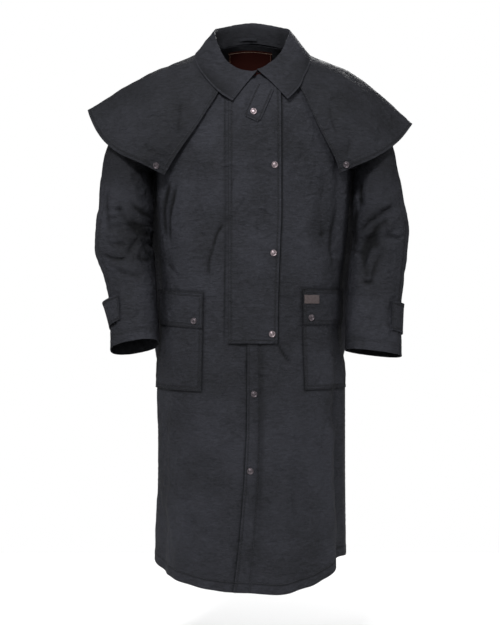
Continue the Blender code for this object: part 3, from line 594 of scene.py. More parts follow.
def lockstitch_tree():
    """Stitches along a line, each turned to the line and to the cloth below it."""
    tree = bpy.data.node_groups.new("lockstitch", "GeometryNodeTree")
    faces = tree.interface
    faces.new_socket("Seam", in_out="INPUT", socket_type="NodeSocketGeometry")
    for name, value in (("Pitch", 0.0034), ("Length", 0.0029), ("Thread", 0.0007)):
        faces.new_socket(name, in_out="INPUT", socket_type="NodeSocketFloat").default_value = value
    faces.new_socket("Finish", in_out="INPUT", socket_type="NodeSocketMaterial")
    faces.new_socket("Stitches", in_out="OUTPUT", socket_type="NodeSocketGeometry")
    given = add(tree, "NodeGroupInput").outputs
    line = add(tree, "GeometryNodeMeshToCurve", {}, {"Mesh": given["Seam"]})
    points = add(
        tree, "GeometryNodeResampleCurve", {"mode": "LENGTH"},
        {"Curve": line.outputs["Curve"], "Length": given["Pitch"]},
    )
    grain = add(tree, "GeometryNodeMeshIcoSphere", {}, {"Radius": 0.5, "Subdivisions": 1})
    size = add(
        tree, "ShaderNodeCombineXYZ", {},
        {"X": given["Length"], "Y": given["Thread"], "Z": given["Thread"]},
    )
    tangent = add(tree, "GeometryNodeInputTangent")
    facing = add(tree, "GeometryNodeInputNamedAttribute", {"data_type": "FLOAT_VECTOR"}, {"Name": "facing"})
    along = add(tree, "FunctionNodeAlignRotationToVector", {"axis": "X"}, {"Vector": tangent.outputs[0]})
    turn = add(
        tree, "FunctionNodeAlignRotationToVector", {"axis": "Z", "pivot_axis": "X"},
        {"Rotation": along.outputs[0], "Vector": facing.outputs[0]},
    )
    placed = add(
        tree, "GeometryNodeInstanceOnPoints", {},
        {
            "Points": points.outputs["Curve"], "Instance": grain.outputs["Mesh"],
            "Rotation": turn.outputs[0], "Scale": size.outputs[0],
        },
    )
    real = add(tree, "GeometryNodeRealizeInstances", {}, {"Geometry": placed.outputs[0]})
    coloured = add(
        tree, "GeometryNodeSetMaterial", {},
        {"Geometry": real.outputs[0], "Material": given["Finish"]},
    )
    add(tree, "NodeGroupOutput", {}, {"Stitches": coloured.outputs[0]})
    return tree


lockstitch = lockstitch_tree()


def round_edge(near, top=None):
    """Cuts along both sides and the foot of a piece, a number of points in from its edge."""
    top = near if top is None else top
    return [np.s_[top:-near, near], np.s_[top:-near, -1 - near], np.s_[-1 - near, near:-near]]


def sew(name, rows, material=thread):
    """Stitch along rows of points on the cloth. Each row is its points and where they face."""
    points = np.concatenate([row for row, _ in rows])
    facing = np.concatenate([way for _, way in rows])
    edges = []
    start = 0
    for row, _ in rows:
        edges += [(i, i + 1) for i in range(start, start + len(row) - 1)]
        start += len(row)
    seam = bpy.data.meshes.new(name)
    seam.from_pydata(((points + 0.15 * facing) * MM).tolist(), edges, [])
    seam.attributes.new("facing", "FLOAT_VECTOR", "POINT").data.foreach_set("vector", facing.ravel())
    guide = bpy.data.objects.new(name + "_guide", seam)
    scene.collection.objects.link(guide)
    stitcher = guide.modifiers.new("lockstitch", "NODES")
    stitcher.node_group = lockstitch
    sockets = {s.name: s.identifier for s in lockstitch.interface.items_tree if s.in_out == "INPUT"}
    stitcher[sockets["Finish"]] = material
    evaluated = guide.evaluated_get(bpy.context.evaluated_depsgraph_get())
    mesh = bpy.data.meshes.new_from_object(evaluated)
    guide.modifiers.remove(stitcher)
    bpy.data.objects.remove(guide)
    mesh.name = name
    mesh.shade_smooth()
    return new_piece(name, mesh, material)


def cloth(node, outer, facing, painted_shade, cuts=(), thick=SHELL, finish=black_oilskin, closed=False):
    """A piece of cloth in place of one of the part's solids, stitched along some of its rows."""
    piece = shell(node + "_cloth", outer, outer - facing * thick, finish, closed, painted_shade)
    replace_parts(piece, node)
    if cuts:
        sew("stitches_" + node, [(outer[cut], facing[cut]) for cut in cuts])
    return piece


def armhole_rows():
    """Rows through the armhole, close together at its top and foot."""
    middle = (ARMHOLE_TOP + ARMHOLE_BOTTOM) / 2
    half = (ARMHOLE_BOTTOM - ARMHOLE_TOP) / 2
    return middle - half * np.cos(np.linspace(0, math.pi, round(1.6 * half / CELL) * 2 + 1))


HEM_LINE = 22.0
EDGE_LINE = 6.0
PLACKET_LINE = 40.0
PLACKET_RISE = 0.4
PLACKET_DIP = 2.4
FELL_LINES = (3.0, 9.5)
EDGE_NEAR = (1.5, 3.0, 4.5, EDGE_LINE, 7.5, 9.5, 12.5)
FELL_NEAR = (1.5, FELL_LINES[0], 4.8, 7.0, FELL_LINES[1], 12.0)
HEM_NEAR = (2.0, 5.0, 9.0, 13.0, 17.0, 20.0, HEM_LINE, 24.0, 27.0)
HEM_CALM = 60
HEM_KEEPS = 0.3
PANEL_WIDTH = 380.0
ARM_LIFT = 9.5
panel_downs = np.concatenate([
    lines(0, ARMHOLE_TOP)[:-1], armhole_rows(), lines(ARMHOLE_BOTTOM, LENGTH, last=HEM_NEAR)[1:],
])[:, None]
hem_row = len(panel_downs) - 2 - HEM_NEAR.index(HEM_LINE)


def front_relief(points, seed=0.0):
    """Creases and dents of the coat's front, shared by all that lies on it."""
    lower = 1 + 0.6 * ease((-points[..., 2] - 860) / 80)
    push = creases(points, FRONT_CREASES) * lower + crumple(points, 52.0, 2.2, 0.0)
    return (push + crumple(points, 22.0, 0.9, seed)) * calm(points)


def at_hem(relief, hem_away):
    """The relief made flatter towards the stitched hem."""
    return relief * ease(hem_away / HEM_CALM) * (1 - HEM_KEEPS) + relief * HEM_KEEPS


def front_angles(side, across):
    """Angles of a front panel's points: shares across it from its front edge to the side seam."""
    start = []
    end = []
    for down in panel_downs[:, 0]:
        edge_x = float(read(LAP_EDGE, LAP_COLUMNS, "x", down)) if side > 0 else UNDERLAP
        start.append(angle_at(edge_x, down))
        end.append(side * (90 - armhole_reach(down, ARMHOLE_FRONT_REACH) - seam_turn(down)))
    start = np.array(start)[:, None]
    return start + (np.array(end)[:, None] - start) * across


def placket_relief(distance):
    """The placket's stitched line: the cloth is double up to it, and dips at it."""
    return PLACKET_RISE * (1 - ease((distance + 2) / 4)) - PLACKET_DIP * ridge(distance, 7)


# The storm flap as seen from the front, its sewn edge and its free one, and the pockets by their
# places round the body and down it: a line of painted shade, for the shade each casts, is put on
# the front beside it.
FLAP_HINGE = -50.0
FLAP_COLUMNS = ("down", "edge")
FLAP_ROWS = (
    (102, 72), (114, 72), (128, 72), (146, 72), (168, 72), (195, 72), (235, 72), (285, 72), (340, 72),
    (410, 72), (480, 69.5), (550, 66.5), (610, 64.5), (665, 63.5), (720, 63),
)
# Side and name, the angles of the near and far edge, then the flap's top, the bag's mouth, the
# flap's foot and the bag's foot.
POCKETS = (
    (-1, "right", -37.0, -82.0, 602.0, 640.0, 685.0, 832.0),
    (1, "left", 41.0, 80.0, 594.0, 640.0, 676.0, 828.0),
)
FLAP_SEAM = 8.5
POCKET_WIDE = 168.0
# How much painted shade the front gets along the flap's free edge, under its foot, at its sewn
# edge and round a pocket, then beside the arms, at the placket's line, and in the valley along it
# lower down.
FLAP_EDGE_SHADE = 0.95
FLAP_FOOT_SHADE = 0.9
FLAP_SEAM_SHADE = 0.75
POCKET_SHADE = 0.7
ARM_SHADE = 0.55
PLACKET_SHADE = 0.35
VALLEY_LINE_SHADE = 0.3
VALLEY_SHADE = 0.42


def painted_shade_beside(side, angles, downs, x, z):
    """How much painted shade the front gets beside the storm flap, the lapped edge and the pocket,
    from 0 to 1.
    """
    foot = FLAP_ROWS[-1][0]
    free = x - read(FLAP_ROWS, FLAP_COLUMNS, "edge", -z)
    level = ease((foot + 3 + z) / 4) * ease((-z - FLAP_ROWS[0][0]) / 8)
    shade = FLAP_EDGE_SHADE * hump((free - 1.5) / 5.5) * level
    under = hump((-z - foot - 1.5) / 5.5) * ease((x - FLAP_HINGE + 2) / 4) * ease((6 - free) / 4)
    shade = np.maximum(shade, FLAP_FOOT_SHADE * under)
    shade = np.maximum(shade, FLAP_SEAM_SHADE * ridge(x - FLAP_HINGE + FLAP_SEAM, 1.9) * level)
    if side < 0:
        lap = read(LAP_EDGE, LAP_COLUMNS, "x", downs) - x
        shade = np.maximum(shade, hump((lap - 0.5) / 5.0) * ease((-z - foot) / 8))
    for pocket_side, _, near, far, top, _, _, bottom in POCKETS:
        if pocket_side == side:
            span = abs(far - near)
            sideways = (np.abs(angles - (near + far) / 2) - span / 2) * POCKET_WIDE / span
            lengthways = np.abs(downs - (top + bottom) / 2) - (bottom - top) / 2
            shade = np.maximum(shade, POCKET_SHADE * ridge(np.maximum(sideways, lengthways), 3.2))
    return shade


def front_panel(side, name):
    """One front and its stitching."""
    first = EDGE_NEAR + (20.0, 30.0, 36.0, PLACKET_LINE, 44.0)
    across = lines(0, PANEL_WIDTH, CELL, first=first, last=FELL_NEAR)
    angles = front_angles(side, across / PANEL_WIDTH)
    base, facing = trunk_face(angles, panel_downs)
    low = base[..., 2]
    hem_away = low - low[-1]
    side_away = PANEL_WIDTH - across
    relief = at_hem(front_relief(base, 3.0 + side), hem_away) * ease(side_away / 25)
    relief = stitched(
        relief, (across, low, EDGE_LINE, 1.0), (hem_away, base[..., 0], HEM_LINE, 2.0),
        (side_away, low, FELL_LINES[0], 4.0), (side_away, low, FELL_LINES[1], 5.0),
    )
    creased = creases(base, FRONT_CREASES) * (1 - 0.6 * ease((panel_downs - 780) / 60))
    away = [across - EDGE_LINE, hem_away - HEM_LINE] + [side_away - line for line in FELL_LINES]
    painted_shade = np.maximum(sunk(creased, *away), painted_shade_beside(side, angles, panel_downs, base[..., 0], low))
    # Painted shade: the sides are painted darker where they lie in the shade of the arms.
    armed = ease((panel_downs - 220) / 80) * (1 - ease((panel_downs - 560) / 140))
    painted_shade = np.maximum(painted_shade, ARM_SHADE * (1 - ease(side_away / 85)) * armed)
    columns = [len(across) - 2 - FELL_NEAR.index(line) for line in FELL_LINES]
    if side > 0:
        # The placket, and the cloth below the arm, filled out to where it meets the sleeve.
        placket = across - PLACKET_LINE
        relief = relief + placket_relief(placket) + front_lift(base[..., 0])
        relief = relief + ARM_LIFT * hump((panel_downs - 294) / 55) * hump((side_away - 12) / 40)
        # Painted shade along the placket's line, and in the valley beside it lower down.
        valley = ease((panel_downs - 700) / 60) * (1 - ease((panel_downs - 1040) / 200))
        painted_shade = np.maximum(painted_shade, (PLACKET_SHADE + VALLEY_LINE_SHADE * valley) * ridge(placket, 3.6))
        painted_shade = np.maximum(painted_shade, VALLEY_SHADE * valley * ridge(placket - 9, 9))
        columns = [1 + EDGE_NEAR.index(EDGE_LINE), 1 + first.index(PLACKET_LINE)] + columns
    outer = base + facing * (CLOTH + relief)[..., None]
    return cloth(name, outer, facing, painted_shade, [hem_row] + [np.s_[4:, column] for column in columns])


for side, name in ((-1, "front_right"), (1, "front_left")):
    front_panel(side, name)

# The back: the same oilskin in one piece from side seam to side seam, hung from the shoulders.
# The fronts are felled to it at the sides, and its lower half falls in soft pipes.
BACK_CREASES = (
    (-150, -230, -60, -330, -3.4, 12), (150, -240, 70, -340, -3.0, 12), (-40, -300, -30, -470, 2.4, 16),
    (46, -310, 40, -500, -2.6, 14), (-120, -380, -150, -540, -3.2, 12),
    (130, -370, 160, -560, -3.0, 12), (-170, -470, -90, -540, 2.4, 11), (170, -500, 84, -560, 2.6, 11),
    (-80, -560, 20, -590, -2.2, 12), (30, -600, 120, -580, -2.0, 11), (-150, -640, -60, -680, -2.4, 11),
    (0, -520, 10, -720, 1.8, 16), (-60, -720, -84, -960, -2.4, 16), (74, -700, 60, -940, -2.2, 16),
    (150, -760, 170, -1020, 2.4, 14), (-160, -780, -176, -1010, 2.2, 14),
    (-120, -1010, -40, -1060, -1.8, 14), (20, -1100, 110, -1060, -1.8, 14),
    (-30, -980, -24, -1200, 1.8, 18), (120, -980, 134, -1190, -2.0, 15),
    (-96, -1080, -110, -1220, 2.0, 15),
)
BACK_WIDTH = 740.0
across = lines(0, BACK_WIDTH, 5.2, first=FELL_NEAR, last=FELL_NEAR)
angles = []
for down in panel_downs[:, 0]:
    edge = 90 + armhole_reach(down, ARMHOLE_BACK_REACH) + seam_turn(down)
    angles.append(edge + (360 - 2 * edge) * across / BACK_WIDTH)
base, facing = trunk_face(np.array(angles), panel_downs)
low = base[..., 2]
hem_away = low - low[-1]
creased = creases(base, BACK_CREASES)
relief = at_hem(creased + crumple(base, 46.0, 2.8, 5.0) + crumple(base, 21.0, 0.5, 9.0), hem_away)
relief = relief * ease(across / 20) * ease((BACK_WIDTH - across) / 20) * ease(panel_downs / 60)
relief = stitched(relief, (hem_away, base[..., 0], HEM_LINE, 6.0))
away = [hem_away - HEM_LINE]
for line in FELL_LINES:
    relief = stitched(relief, (across, low, line, 7.0), (BACK_WIDTH - across, low, line, 8.0))
    away += [across - line, BACK_WIDTH - across - line]
outer = base + facing * (CLOTH + relief)[..., None]
back = cloth("back", outer, facing, sunk(creased, *away), [hem_row])

# The sleeves: oilskin tubes set into the armholes. Each has a seam down the front of its outer
# side, soft folds inside the elbow and a turned cuff.

# The rings of each: x and z of the outer and inner side, y of the middle, half the depth, how
# much the front is tilted up, and how square it is. Further down, one degree round the sleeve is
# counted as 1.25 mm, and the armhole's gap is in degrees.
SLEEVE_RIGHT = (
    (262, -92, 239, -308, -2, 82, 0, 2.0), (310, -150, 237, -330, -5, 80, 0, 2.05),
    (345, -237, 235, -365, -13, 79, 0, 2.2), (362, -320, 233, -405, -20, 79, 0, 2.4),
    (370, -402, 231, -440, -25, 78, 3, 2.5), (376, -490, 236, -472, -28, 76, 8, 2.5),
    (366, -530, 232, -505, -33, 73, 12, 2.45), (350, -572, 228, -545, -42, 69, 14, 2.4),
    (338, -630, 224, -600, -56, 63, 16, 2.4), (333, -690, 219, -662, -70, 57, 17, 2.35),
    (333, -740, 216, -720, -82, 53, 17, 2.3),
)
SLEEVE_LEFT = (
    (270, -90, 252, -310, -2, 82, 0, 2.0), (318, -160, 251, -332, -5, 80, 0, 2.05),
    (349, -248, 250, -365, -13, 79, 0, 2.2), (357, -295, 248, -395, -20, 79, 0, 2.4),
    (374, -375, 246, -440, -25, 78, 0, 2.5), (385, -445, 246, -480, -28, 76, 3, 2.5),
    (381, -500, 241, -520, -33, 73, 5, 2.45), (372, -560, 236, -560, -42, 69, 7, 2.4),
    (364, -630, 232, -620, -56, 63, 8, 2.4), (362, -700, 228, -682, -70, 57, 8, 2.35),
    (361, -753, 227, -737, -82, 53, 8, 2.3),
)
# Dents of the sleeves: the ring and the turn of each, its depth, and half its reach each way.
# The last one fills the left sleeve out below the arm, where it meets the front.
ELBOW_RIGHT = (
    (3.9, 60, -4, 0.45, 60), (4.8, 30, -5, 0.5, 70), (5.6, 100, -5, 0.45, 80), (6.5, 150, -6, 0.5, 70),
    (4.9, 170, -6, 0.5, 50), (3.4, 218, -10, 3.2, 52),
)
ELBOW_LEFT = (
    (4.1, 140, -5, 0.5, 60), (5.1, 60, -6, 0.45, 80), (6.3, 110, -7, 0.5, 70), (5.6, 170, -5, 0.5, 50),
    (3.9, 218, -14, 2.4, 52), (0.75, 158, 18, 0.75, 55),
)
SLEEVE_FRONT_RIGHT = (
    (-346, -402, -300, -400, -3.0, 5), (-344, -412, -302, -411, 2.0, 5),
    (-346, -424, -300, -422, -3.0, 5), (-344, -446, -298, -442, -3.2, 5),
    (-344, -464, -296, -462, 2.2, 6), (-342, -484, -296, -482, -3.4, 5),
    (-352, -512, -290, -522, -5.5, 6), (-316, -392, -262, -466, -4.5, 6),
    (-328, -398, -276, -476, 3.0, 7), (-262, -468, -292, -518, -4.5, 6),
    (-250, -476, -272, -522, 3.0, 7), (-322, -546, -248, -564, -4.0, 6),
    (-326, -534, -256, -548, 2.6, 6), (-290, -370, -232, -420, -3.4, 7),
    (-286, -436, -232, -442, -3.0, 6), (-278, -512, -230, -528, -3.0, 6),
    (-318, -290, -300, -370, -3.0, 10), (-290, -300, -262, -380, 3.0, 11),
    (-300, -590, -250, -620, -2.0, 9), (-322, -600, -318, -680, -2.2, 8),
    (-250, -640, -246, -720, 1.8, 9), (-304, -262, -240, -322, -4.6, 26),
    (-338, -340, -334, -450, -3.6, 8), (-284, -389, -230, -424, -3.8, 6),
    (-286, -376, -234, -404, 2.4, 6), (-284, -432, -232, -468, -5.0, 14),
    (-256, -470, -230, -520, -4.0, 6), (-300, -405, -331, -405, -2.6, 4),
    (-315, -488, -291, -488, -3.0, 4), (-272, -512, -232, -522, -3.0, 5),
    (-330, -620, -326, -690, -3.0, 6), (-300, -742, -240, -720, -3.0, 8),
    (-326, -672, -314, -676, -3.0, 5),
)
SLEEVE_FRONT_LEFT = (
    (340, -398, 302, -420, -6.0, 6), (304, -419, 262, -452, -6.0, 6), (334, -388, 262, -436, 3.6, 8),
    (326, -424, 290, -470, -4.0, 8), (320, -440, 312, -505, 3.4, 8), (322, -462, 362, -474, -4.2, 5),
    (324, -452, 364, -462, 2.4, 6), (286, -470, 266, -520, -4.0, 9), (318, -500, 286, -572, -4.4, 8),
    (302, -492, 268, -556, 3.0, 8), (262, -576, 290, -576, -3.6, 5), (270, -330, 262, -400, -3.6, 8),
    (286, -320, 276, -392, 2.8, 9), (330, -300, 326, -380, -2.4, 12), (310, -600, 262, -640, -2.2, 9),
    (350, -580, 340, -660, -2.0, 9), (276, -640, 262, -710, 2.0, 9), (298, -436, 304, -505, -4.4, 13),
    (286, -466, 272, -570, -5.4, 15), (320, -425, 329, -466, -3.4, 5), (254, -396, 248, -492, -5.0, 12),
    (240, -493, 262, -506, -3.6, 5), (262, -300, 322, -262, -4.2, 20), (262, -330, 268, -392, -3.0, 6),
    (252, -322, 256, -380, 2.2, 5), (268, -574, 292, -578, -3.4, 5), (330, -480, 326, -560, 2.4, 7),
    (334, -616, 330, -700, -2.6, 4), (262, -742, 330, -752, -2.6, 6),
)
SLEEVE_BACK_RIGHT = (
    (-352, -410, -290, -430, -3.4, 8), (-356, -450, -280, -462, 2.8, 9),
    (-354, -492, -282, -500, -3.4, 8), (-300, -330, -270, -420, -3.0, 12),
    (-330, -540, -260, -560, -2.8, 9), (-310, -600, -290, -700, 2.2, 12),
    (-256, -470, -244, -560, -3.0, 10),
)
SLEEVE_BACK_LEFT = (
    (354, -400, 296, -424, -3.4, 8), (362, -444, 290, -462, 2.8, 9), (360, -486, 296, -512, -3.4, 8),
    (318, -320, 282, -410, -3.0, 12), (346, -550, 276, -566, -2.8, 9), (330, -610, 306, -700, 2.2, 12),
    (268, -470, 258, -560, -3.0, 10),
)
SLEEVE_CELLS = 150
SLEEVE_ROWS = 158
SLEEVE_END = 11.0
SLEEVE_SEAM_TURN = 38.0
SLEEVE_SEAM_DIP = 1.6
SLEEVE_SEAM_RISE = 0.9
SLEEVE_DEGREE = 1.25
ARMHOLE_GAP = 0.16
CUFF_LINE = 24.0


def rounded(value, square):
    return np.sign(value) * np.abs(value) ** (2 / square)


def sleeve_controls(side, turn):
    """A strand's points at each ring of the sleeve, starting at the armhole."""
    across = np.cos(np.radians(turn))
    ahead = np.sin(np.radians(turn))
    middle = (ARMHOLE_TOP + ARMHOLE_BOTTOM) / 2
    half = (ARMHOLE_BOTTOM - ARMHOLE_TOP) / 2 - SEAM
    reach = np.where(ahead > 0, ARMHOLE_FRONT_REACH, -ARMHOLE_BACK_REACH) - np.sign(ahead) * ARMHOLE_GAP
    angle = side * (90 - reach * np.abs(ahead))
    base, facing = trunk_face(angle, middle - half * across)
    rings = [base + facing * (CLOTH + SEAM)]
    table = SLEEVE_LEFT if side > 0 else SLEEVE_RIGHT
    for outer_x, outer_z, inner_x, inner_z, y, depth, tilt, square in table:
        width = rounded(across, square)
        front = rounded(ahead, square)
        x = (outer_x + inner_x) / 2 + (outer_x - inner_x) / 2 * width
        z = (outer_z + inner_z) / 2 + (outer_z - inner_z) / 2 * width + tilt * front
        rings.append(np.stack([side * x, y - depth * front, z], axis=-1))
    return np.stack(rings)


def through_points(points, at):
    """A smooth curve through evenly numbered points, read at any place along them."""
    last = len(points) - 1
    span = min(int(at), last - 1)
    t = at - span
    before = points[max(span - 1, 0)]
    start = points[span]
    end = points[span + 1]
    after = points[min(span + 2, last)]
    square = 2 * before - 5 * start + 4 * end - after
    cube = 3 * start - before - 3 * end + after
    return start + 0.5 * ((end - before) * t + square * t * t + cube * t ** 3)


def sleeve_form(side, turn, along):
    """Points of the sleeve's outer face, a row for each place along it."""
    strands = sleeve_controls(side, turn)
    core = sleeve_controls(side, np.linspace(0, 315, 8)).mean(axis=1)
    rows = []
    for at in along:
        points = through_points(strands, at)
        push = np.zeros(np.shape(turn))
        for where, around, depth, half_along, half_turn in ELBOW_LEFT if side > 0 else ELBOW_RIGHT:
            push = push + depth * hump((at - where) / half_along) * hump(turned(turn - around) / half_turn)
        rows.append(points + unit(points - through_points(core, at)) * push[..., None])
    return np.array(rows)


# Painted shade: the crook of each elbow is painted darker for the shade of the arm and the body,
# and the sleeve's top for the shade of the cape, fading out from one height down to the other.
CROOKS = {-1: -270.0, 1: 294.0}
CROOK_HEIGHT = -455.0
CROOK_WIDE = 44.0
CROOK_LONG = 88.0
CROOK_SHADE = 0.58
UNDER_CAPE_SHADE = 0.6
UNDER_CAPE_FADE = (-285.0, -410.0)


def sleeve(side, name, front, behind):
    """One sleeve and its stitching."""
    turns = np.linspace(0, 360, SLEEVE_CELLS, endpoint=False)
    cuff = 1 - np.array([0.5, 0.42, 0.34, 0.26, 0.18, 0.1, 0.04, 0])
    alongs = np.concatenate([np.linspace(0, SLEEVE_END - 0.55, SLEEVE_ROWS), SLEEVE_END - 1 + cuff])
    form = sleeve_form(side, turns, alongs)
    facing = -side * grid_normals(form, closed=True)
    ahead = ease(np.sin(np.radians(turns)) * 2.2 + 0.5)
    start = ease(alongs / 1.2)[:, None]
    folded = two_sided(form, ahead, front, behind)
    relief = (folded + crumple(form, 34.0, 2.6, 12.0 + side)) * start * calm(form)
    seam_turns = SLEEVE_SEAM_TURN + 6 * np.sin(alongs / 2.4)
    seam_away = np.abs(turned(turns[None, :] - seam_turns[:, None])) * SLEEVE_DEGREE
    seam_relief = SLEEVE_SEAM_RISE * ridge(seam_away - 8, 5) - SLEEVE_SEAM_DIP * ridge(seam_away, 3.2)
    relief = relief + seam_relief * start
    cuff_away = np.linalg.norm(form - form[-1], axis=-1)
    relief = stitched(relief, (cuff_away, turns * 1.3, CUFF_LINE, side + 3.0))
    outer = form + facing * relief[..., None]
    painted_shade = sunk(folded, seam_away, cuff_away - CUFF_LINE)
    # The painted shade is smoothed over the grid, so that a thin crease doesn't show its cells as dots.
    for _ in range(2):
        painted_shade = (np.roll(painted_shade, 1, axis=1) + 2 * painted_shade + np.roll(painted_shade, -1, axis=1)) / 4
        painted_shade[1:-1] = (painted_shade[:-2] + 2 * painted_shade[1:-1] + painted_shade[2:]) / 4
    covered = 1 - ease((UNDER_CAPE_FADE[0] - form[..., 2]) / (UNDER_CAPE_FADE[0] - UNDER_CAPE_FADE[1]))
    painted_shade = np.maximum(painted_shade, UNDER_CAPE_SHADE * covered)
    crook = ridge(form[..., 0] - CROOKS[side], CROOK_WIDE) * ridge(form[..., 2] - CROOK_HEIGHT, CROOK_LONG)
    painted_shade = painted_shade + CROOK_SHADE * crook * ahead * (1 - painted_shade)
    tube = cloth(name, outer, facing, painted_shade, closed=True)
    seam = []
    seam_facing = []
    for r in range(6, len(alongs)):
        c = seam_turns[r] * SLEEVE_CELLS / 360 + 1.6
        share = c - int(c)
        seam.append(outer[r, int(c)] * (1 - share) + outer[r, int(c) + 1] * share)
        seam_facing.append(facing[r, int(c)])
    cuff_row = int(np.argmin(np.abs(cuff_away[:, 20] - CUFF_LINE)))
    ring = np.concatenate([outer[cuff_row], outer[cuff_row, :1]])
    ring_facing = np.concatenate([facing[cuff_row], facing[cuff_row, :1]])
    sew("stitches_" + name, [(np.array(seam), np.array(seam_facing)), (ring, ring_facing)])
    return tube


for side, name, front, behind in (
    (-1, "sleeve_right", SLEEVE_FRONT_RIGHT, SLEEVE_BACK_RIGHT),
    (1, "sleeve_left", SLEEVE_FRONT_LEFT, SLEEVE_BACK_LEFT),
):
    tube = sleeve(side, name, front, behind)

# The shoulder cape: a half circle of oilskin sewn in at the neck under the collar. It lies on
# the yoke, stands out stiffly past the shoulders and is held at its front corners by a stud.
CAPE_COLUMNS = ("neck", "hem", "down", "out", "ahead", "leave", "lift")
CAPE_SECTIONS = (
    (-27, -62, 322, 6, 5, 190, 2), (-41, -69, 297, 46, 13, 100, 4), (-57, -77, 262, 92, 16, 74, 5),
    (-73, -84, 218, 132, 12, 60, 2), (-90, -91, 154, 165, 2, 52, 1.5), (-108, -102, 190, 147, 0, 58, 2),
    (-130, -120, 270, 77, 0, 95, 6), (-155, -148, 320, 30, 0, 150, 5), (-180, -180, 335, 14, 0, 150, 5),
    (-205, -212, 322, 30, 0, 150, 5), (-230, -240, 282, 77, 0, 95, 6),
    (-252, -258, 214, 140, 0, 58, 2.5), (-270, -269, 187, 151, 2, 50, 2),
    (-285, -277, 235, 112, 12, 60, 2.5), (-301, -285, 272, 72, 16, 80, 5),
    (-312, -291, 298, 40, 13, 110, 4), (-319, -296, 318, 6, 5, 190, 2),
)
CAPE_TOP = 8.0
CAPE_OUT = 3.4
CAPE_FRONT_CREASES = (
    (-162, -158, -162, -190, -4.0, 6), (-161, -188, -168, -236, -3.6, 7),
    (-174, -156, -178, -232, 2.6, 9), (-166, -140, -202, -156, 2.6, 14),
    (-200, -152, -262, -222, 4.0, 16), (-262, -220, -264, -246, 3.0, 14),
    (-250, -244, -228, -276, -3.2, 8), (-290, -170, -330, -210, -2.4, 20),
    (-220, -110, -290, -140, -2.0, 18), (-206, -226, -196, -286, 2.2, 12),
    (-130, -118, -140, -160, -2.0, 12), (168, -130, 176, -210, 2.6, 12),
    (186, -150, 204, -236, -3.2, 10), (210, -150, 262, -220, 3.4, 16), (262, -216, 270, -262, 2.4, 14),
    (240, -240, 226, -290, -3.0, 9), (300, -170, 344, -222, -2.4, 20), (232, -112, 300, -146, -2.0, 18),
    (136, -118, 150, -176, -2.2, 11), (190, -268, 214, -300, -2.0, 9),
)
CAPE_BACK_CREASES = (
    (-70, -60, -110, -210, -2.6, 16), (-20, -60, -24, -240, 2.2, 18), (60, -70, 84, -230, -2.6, 16),
    (140, -90, 190, -220, 3.0, 18), (-150, -90, -196, -210, 3.0, 18),
    (-230, -120, -290, -170, -2.4, 18), (240, -120, 300, -176, -2.4, 18),
    (20, -150, 34, -300, -2.2, 14), (-110, -220, -60, -290, 2.0, 13),
)
CAPE_WIDE = 1240.0
CAPE_DEEP = 300.0
CAPE_LINES = (7.0, 13.5)
# Painted shade on the slope over the right shoulder, which turns from the light: x and z of its
# middle, half its reach each way, and how much painted shade it gets.
SLOPE_MIDDLE = (-276, -112)
SLOPE_HALF = (52, 42)
SLOPE_SHADE = 0.34
cape_near = (1.5, 3.5, 5.4, CAPE_LINES[0], 8.6, 10.8, CAPE_LINES[1], 15.2, 18.5)


def cape_form(place, t):
    """A point of the cape's inner face: place runs over its sections, t from neck to hem."""
    size = {n: read(CAPE_SECTIONS, CAPE_COLUMNS, n, place, by_row=True) for n in CAPE_COLUMNS}
    down = CAPE_TOP + (size["down"] - CAPE_TOP) * t
    angle = size["neck"] + (size["hem"] - size["neck"]) * t ** 1.5
    flare = np.clip((down - size["leave"]) / (size["down"] - size["leave"]), 0, 1) ** 0.94
    off = CAPE_OUT + size["lift"] * ease((down - CAPE_TOP) / 45)
    away_x = np.sin(np.radians(angle)) * size["out"] * flare
    away_y = -np.cos(np.radians(angle)) * size["out"] * flare - size["ahead"] * t ** 2
    base, facing = trunk_face(angle, down)
    return base + facing * off[..., None] + np.stack([away_x, away_y, np.zeros(away_x.shape)], axis=-1)


places = lines(0, CAPE_WIDE, 5.2, first=cape_near, last=cape_near)
falls = lines(0, CAPE_DEEP, 5.0, last=cape_near)[:, None]
form = cape_form(places / CAPE_WIDE * (len(CAPE_SECTIONS) - 1), falls / CAPE_DEEP)
facing = -grid_normals(form)
ahead = ease((40 - form[..., 1]) / 80)
folded = two_sided(form, ahead, CAPE_FRONT_CREASES, CAPE_BACK_CREASES)
relief = (folded + crumple(form, 52.0, 2.4, 21.0)) * calm(form) * ease(falls / 60)
edges = (CAPE_DEEP - falls, places, CAPE_WIDE - places)
cuts = []
for line in CAPE_LINES:
    relief = stitched(
        relief, (edges[0], places, line, 9.0), (edges[1], falls, line, 10.0), (edges[2], falls, line, 11.0),
    )
    cuts += round_edge(1 + cape_near.index(line), top=8)
outer = form + facing * (CLOTH + relief)[..., None]
# The cape's oilskin is a darker copy of the fronts', a painted shade, and a little duller.
cape_oilskin_shaded = oilskin("black_oilskin_cape_shaded", "#131417", "#303137", 0.74)
painted_shade = sunk(folded, *[edge - CAPE_LINES[0] for edge in edges])
slope = ridge(form[..., 0] - SLOPE_MIDDLE[0], SLOPE_HALF[0])
slope = slope * ridge(form[..., 2] - SLOPE_MIDDLE[1], SLOPE_HALF[1])
painted_shade = painted_shade + SLOPE_SHADE * slope * ahead * (1 - painted_shade)
cape = cloth("cape", outer, facing, painted_shade, cuts, finish=cape_oilskin_shaded)

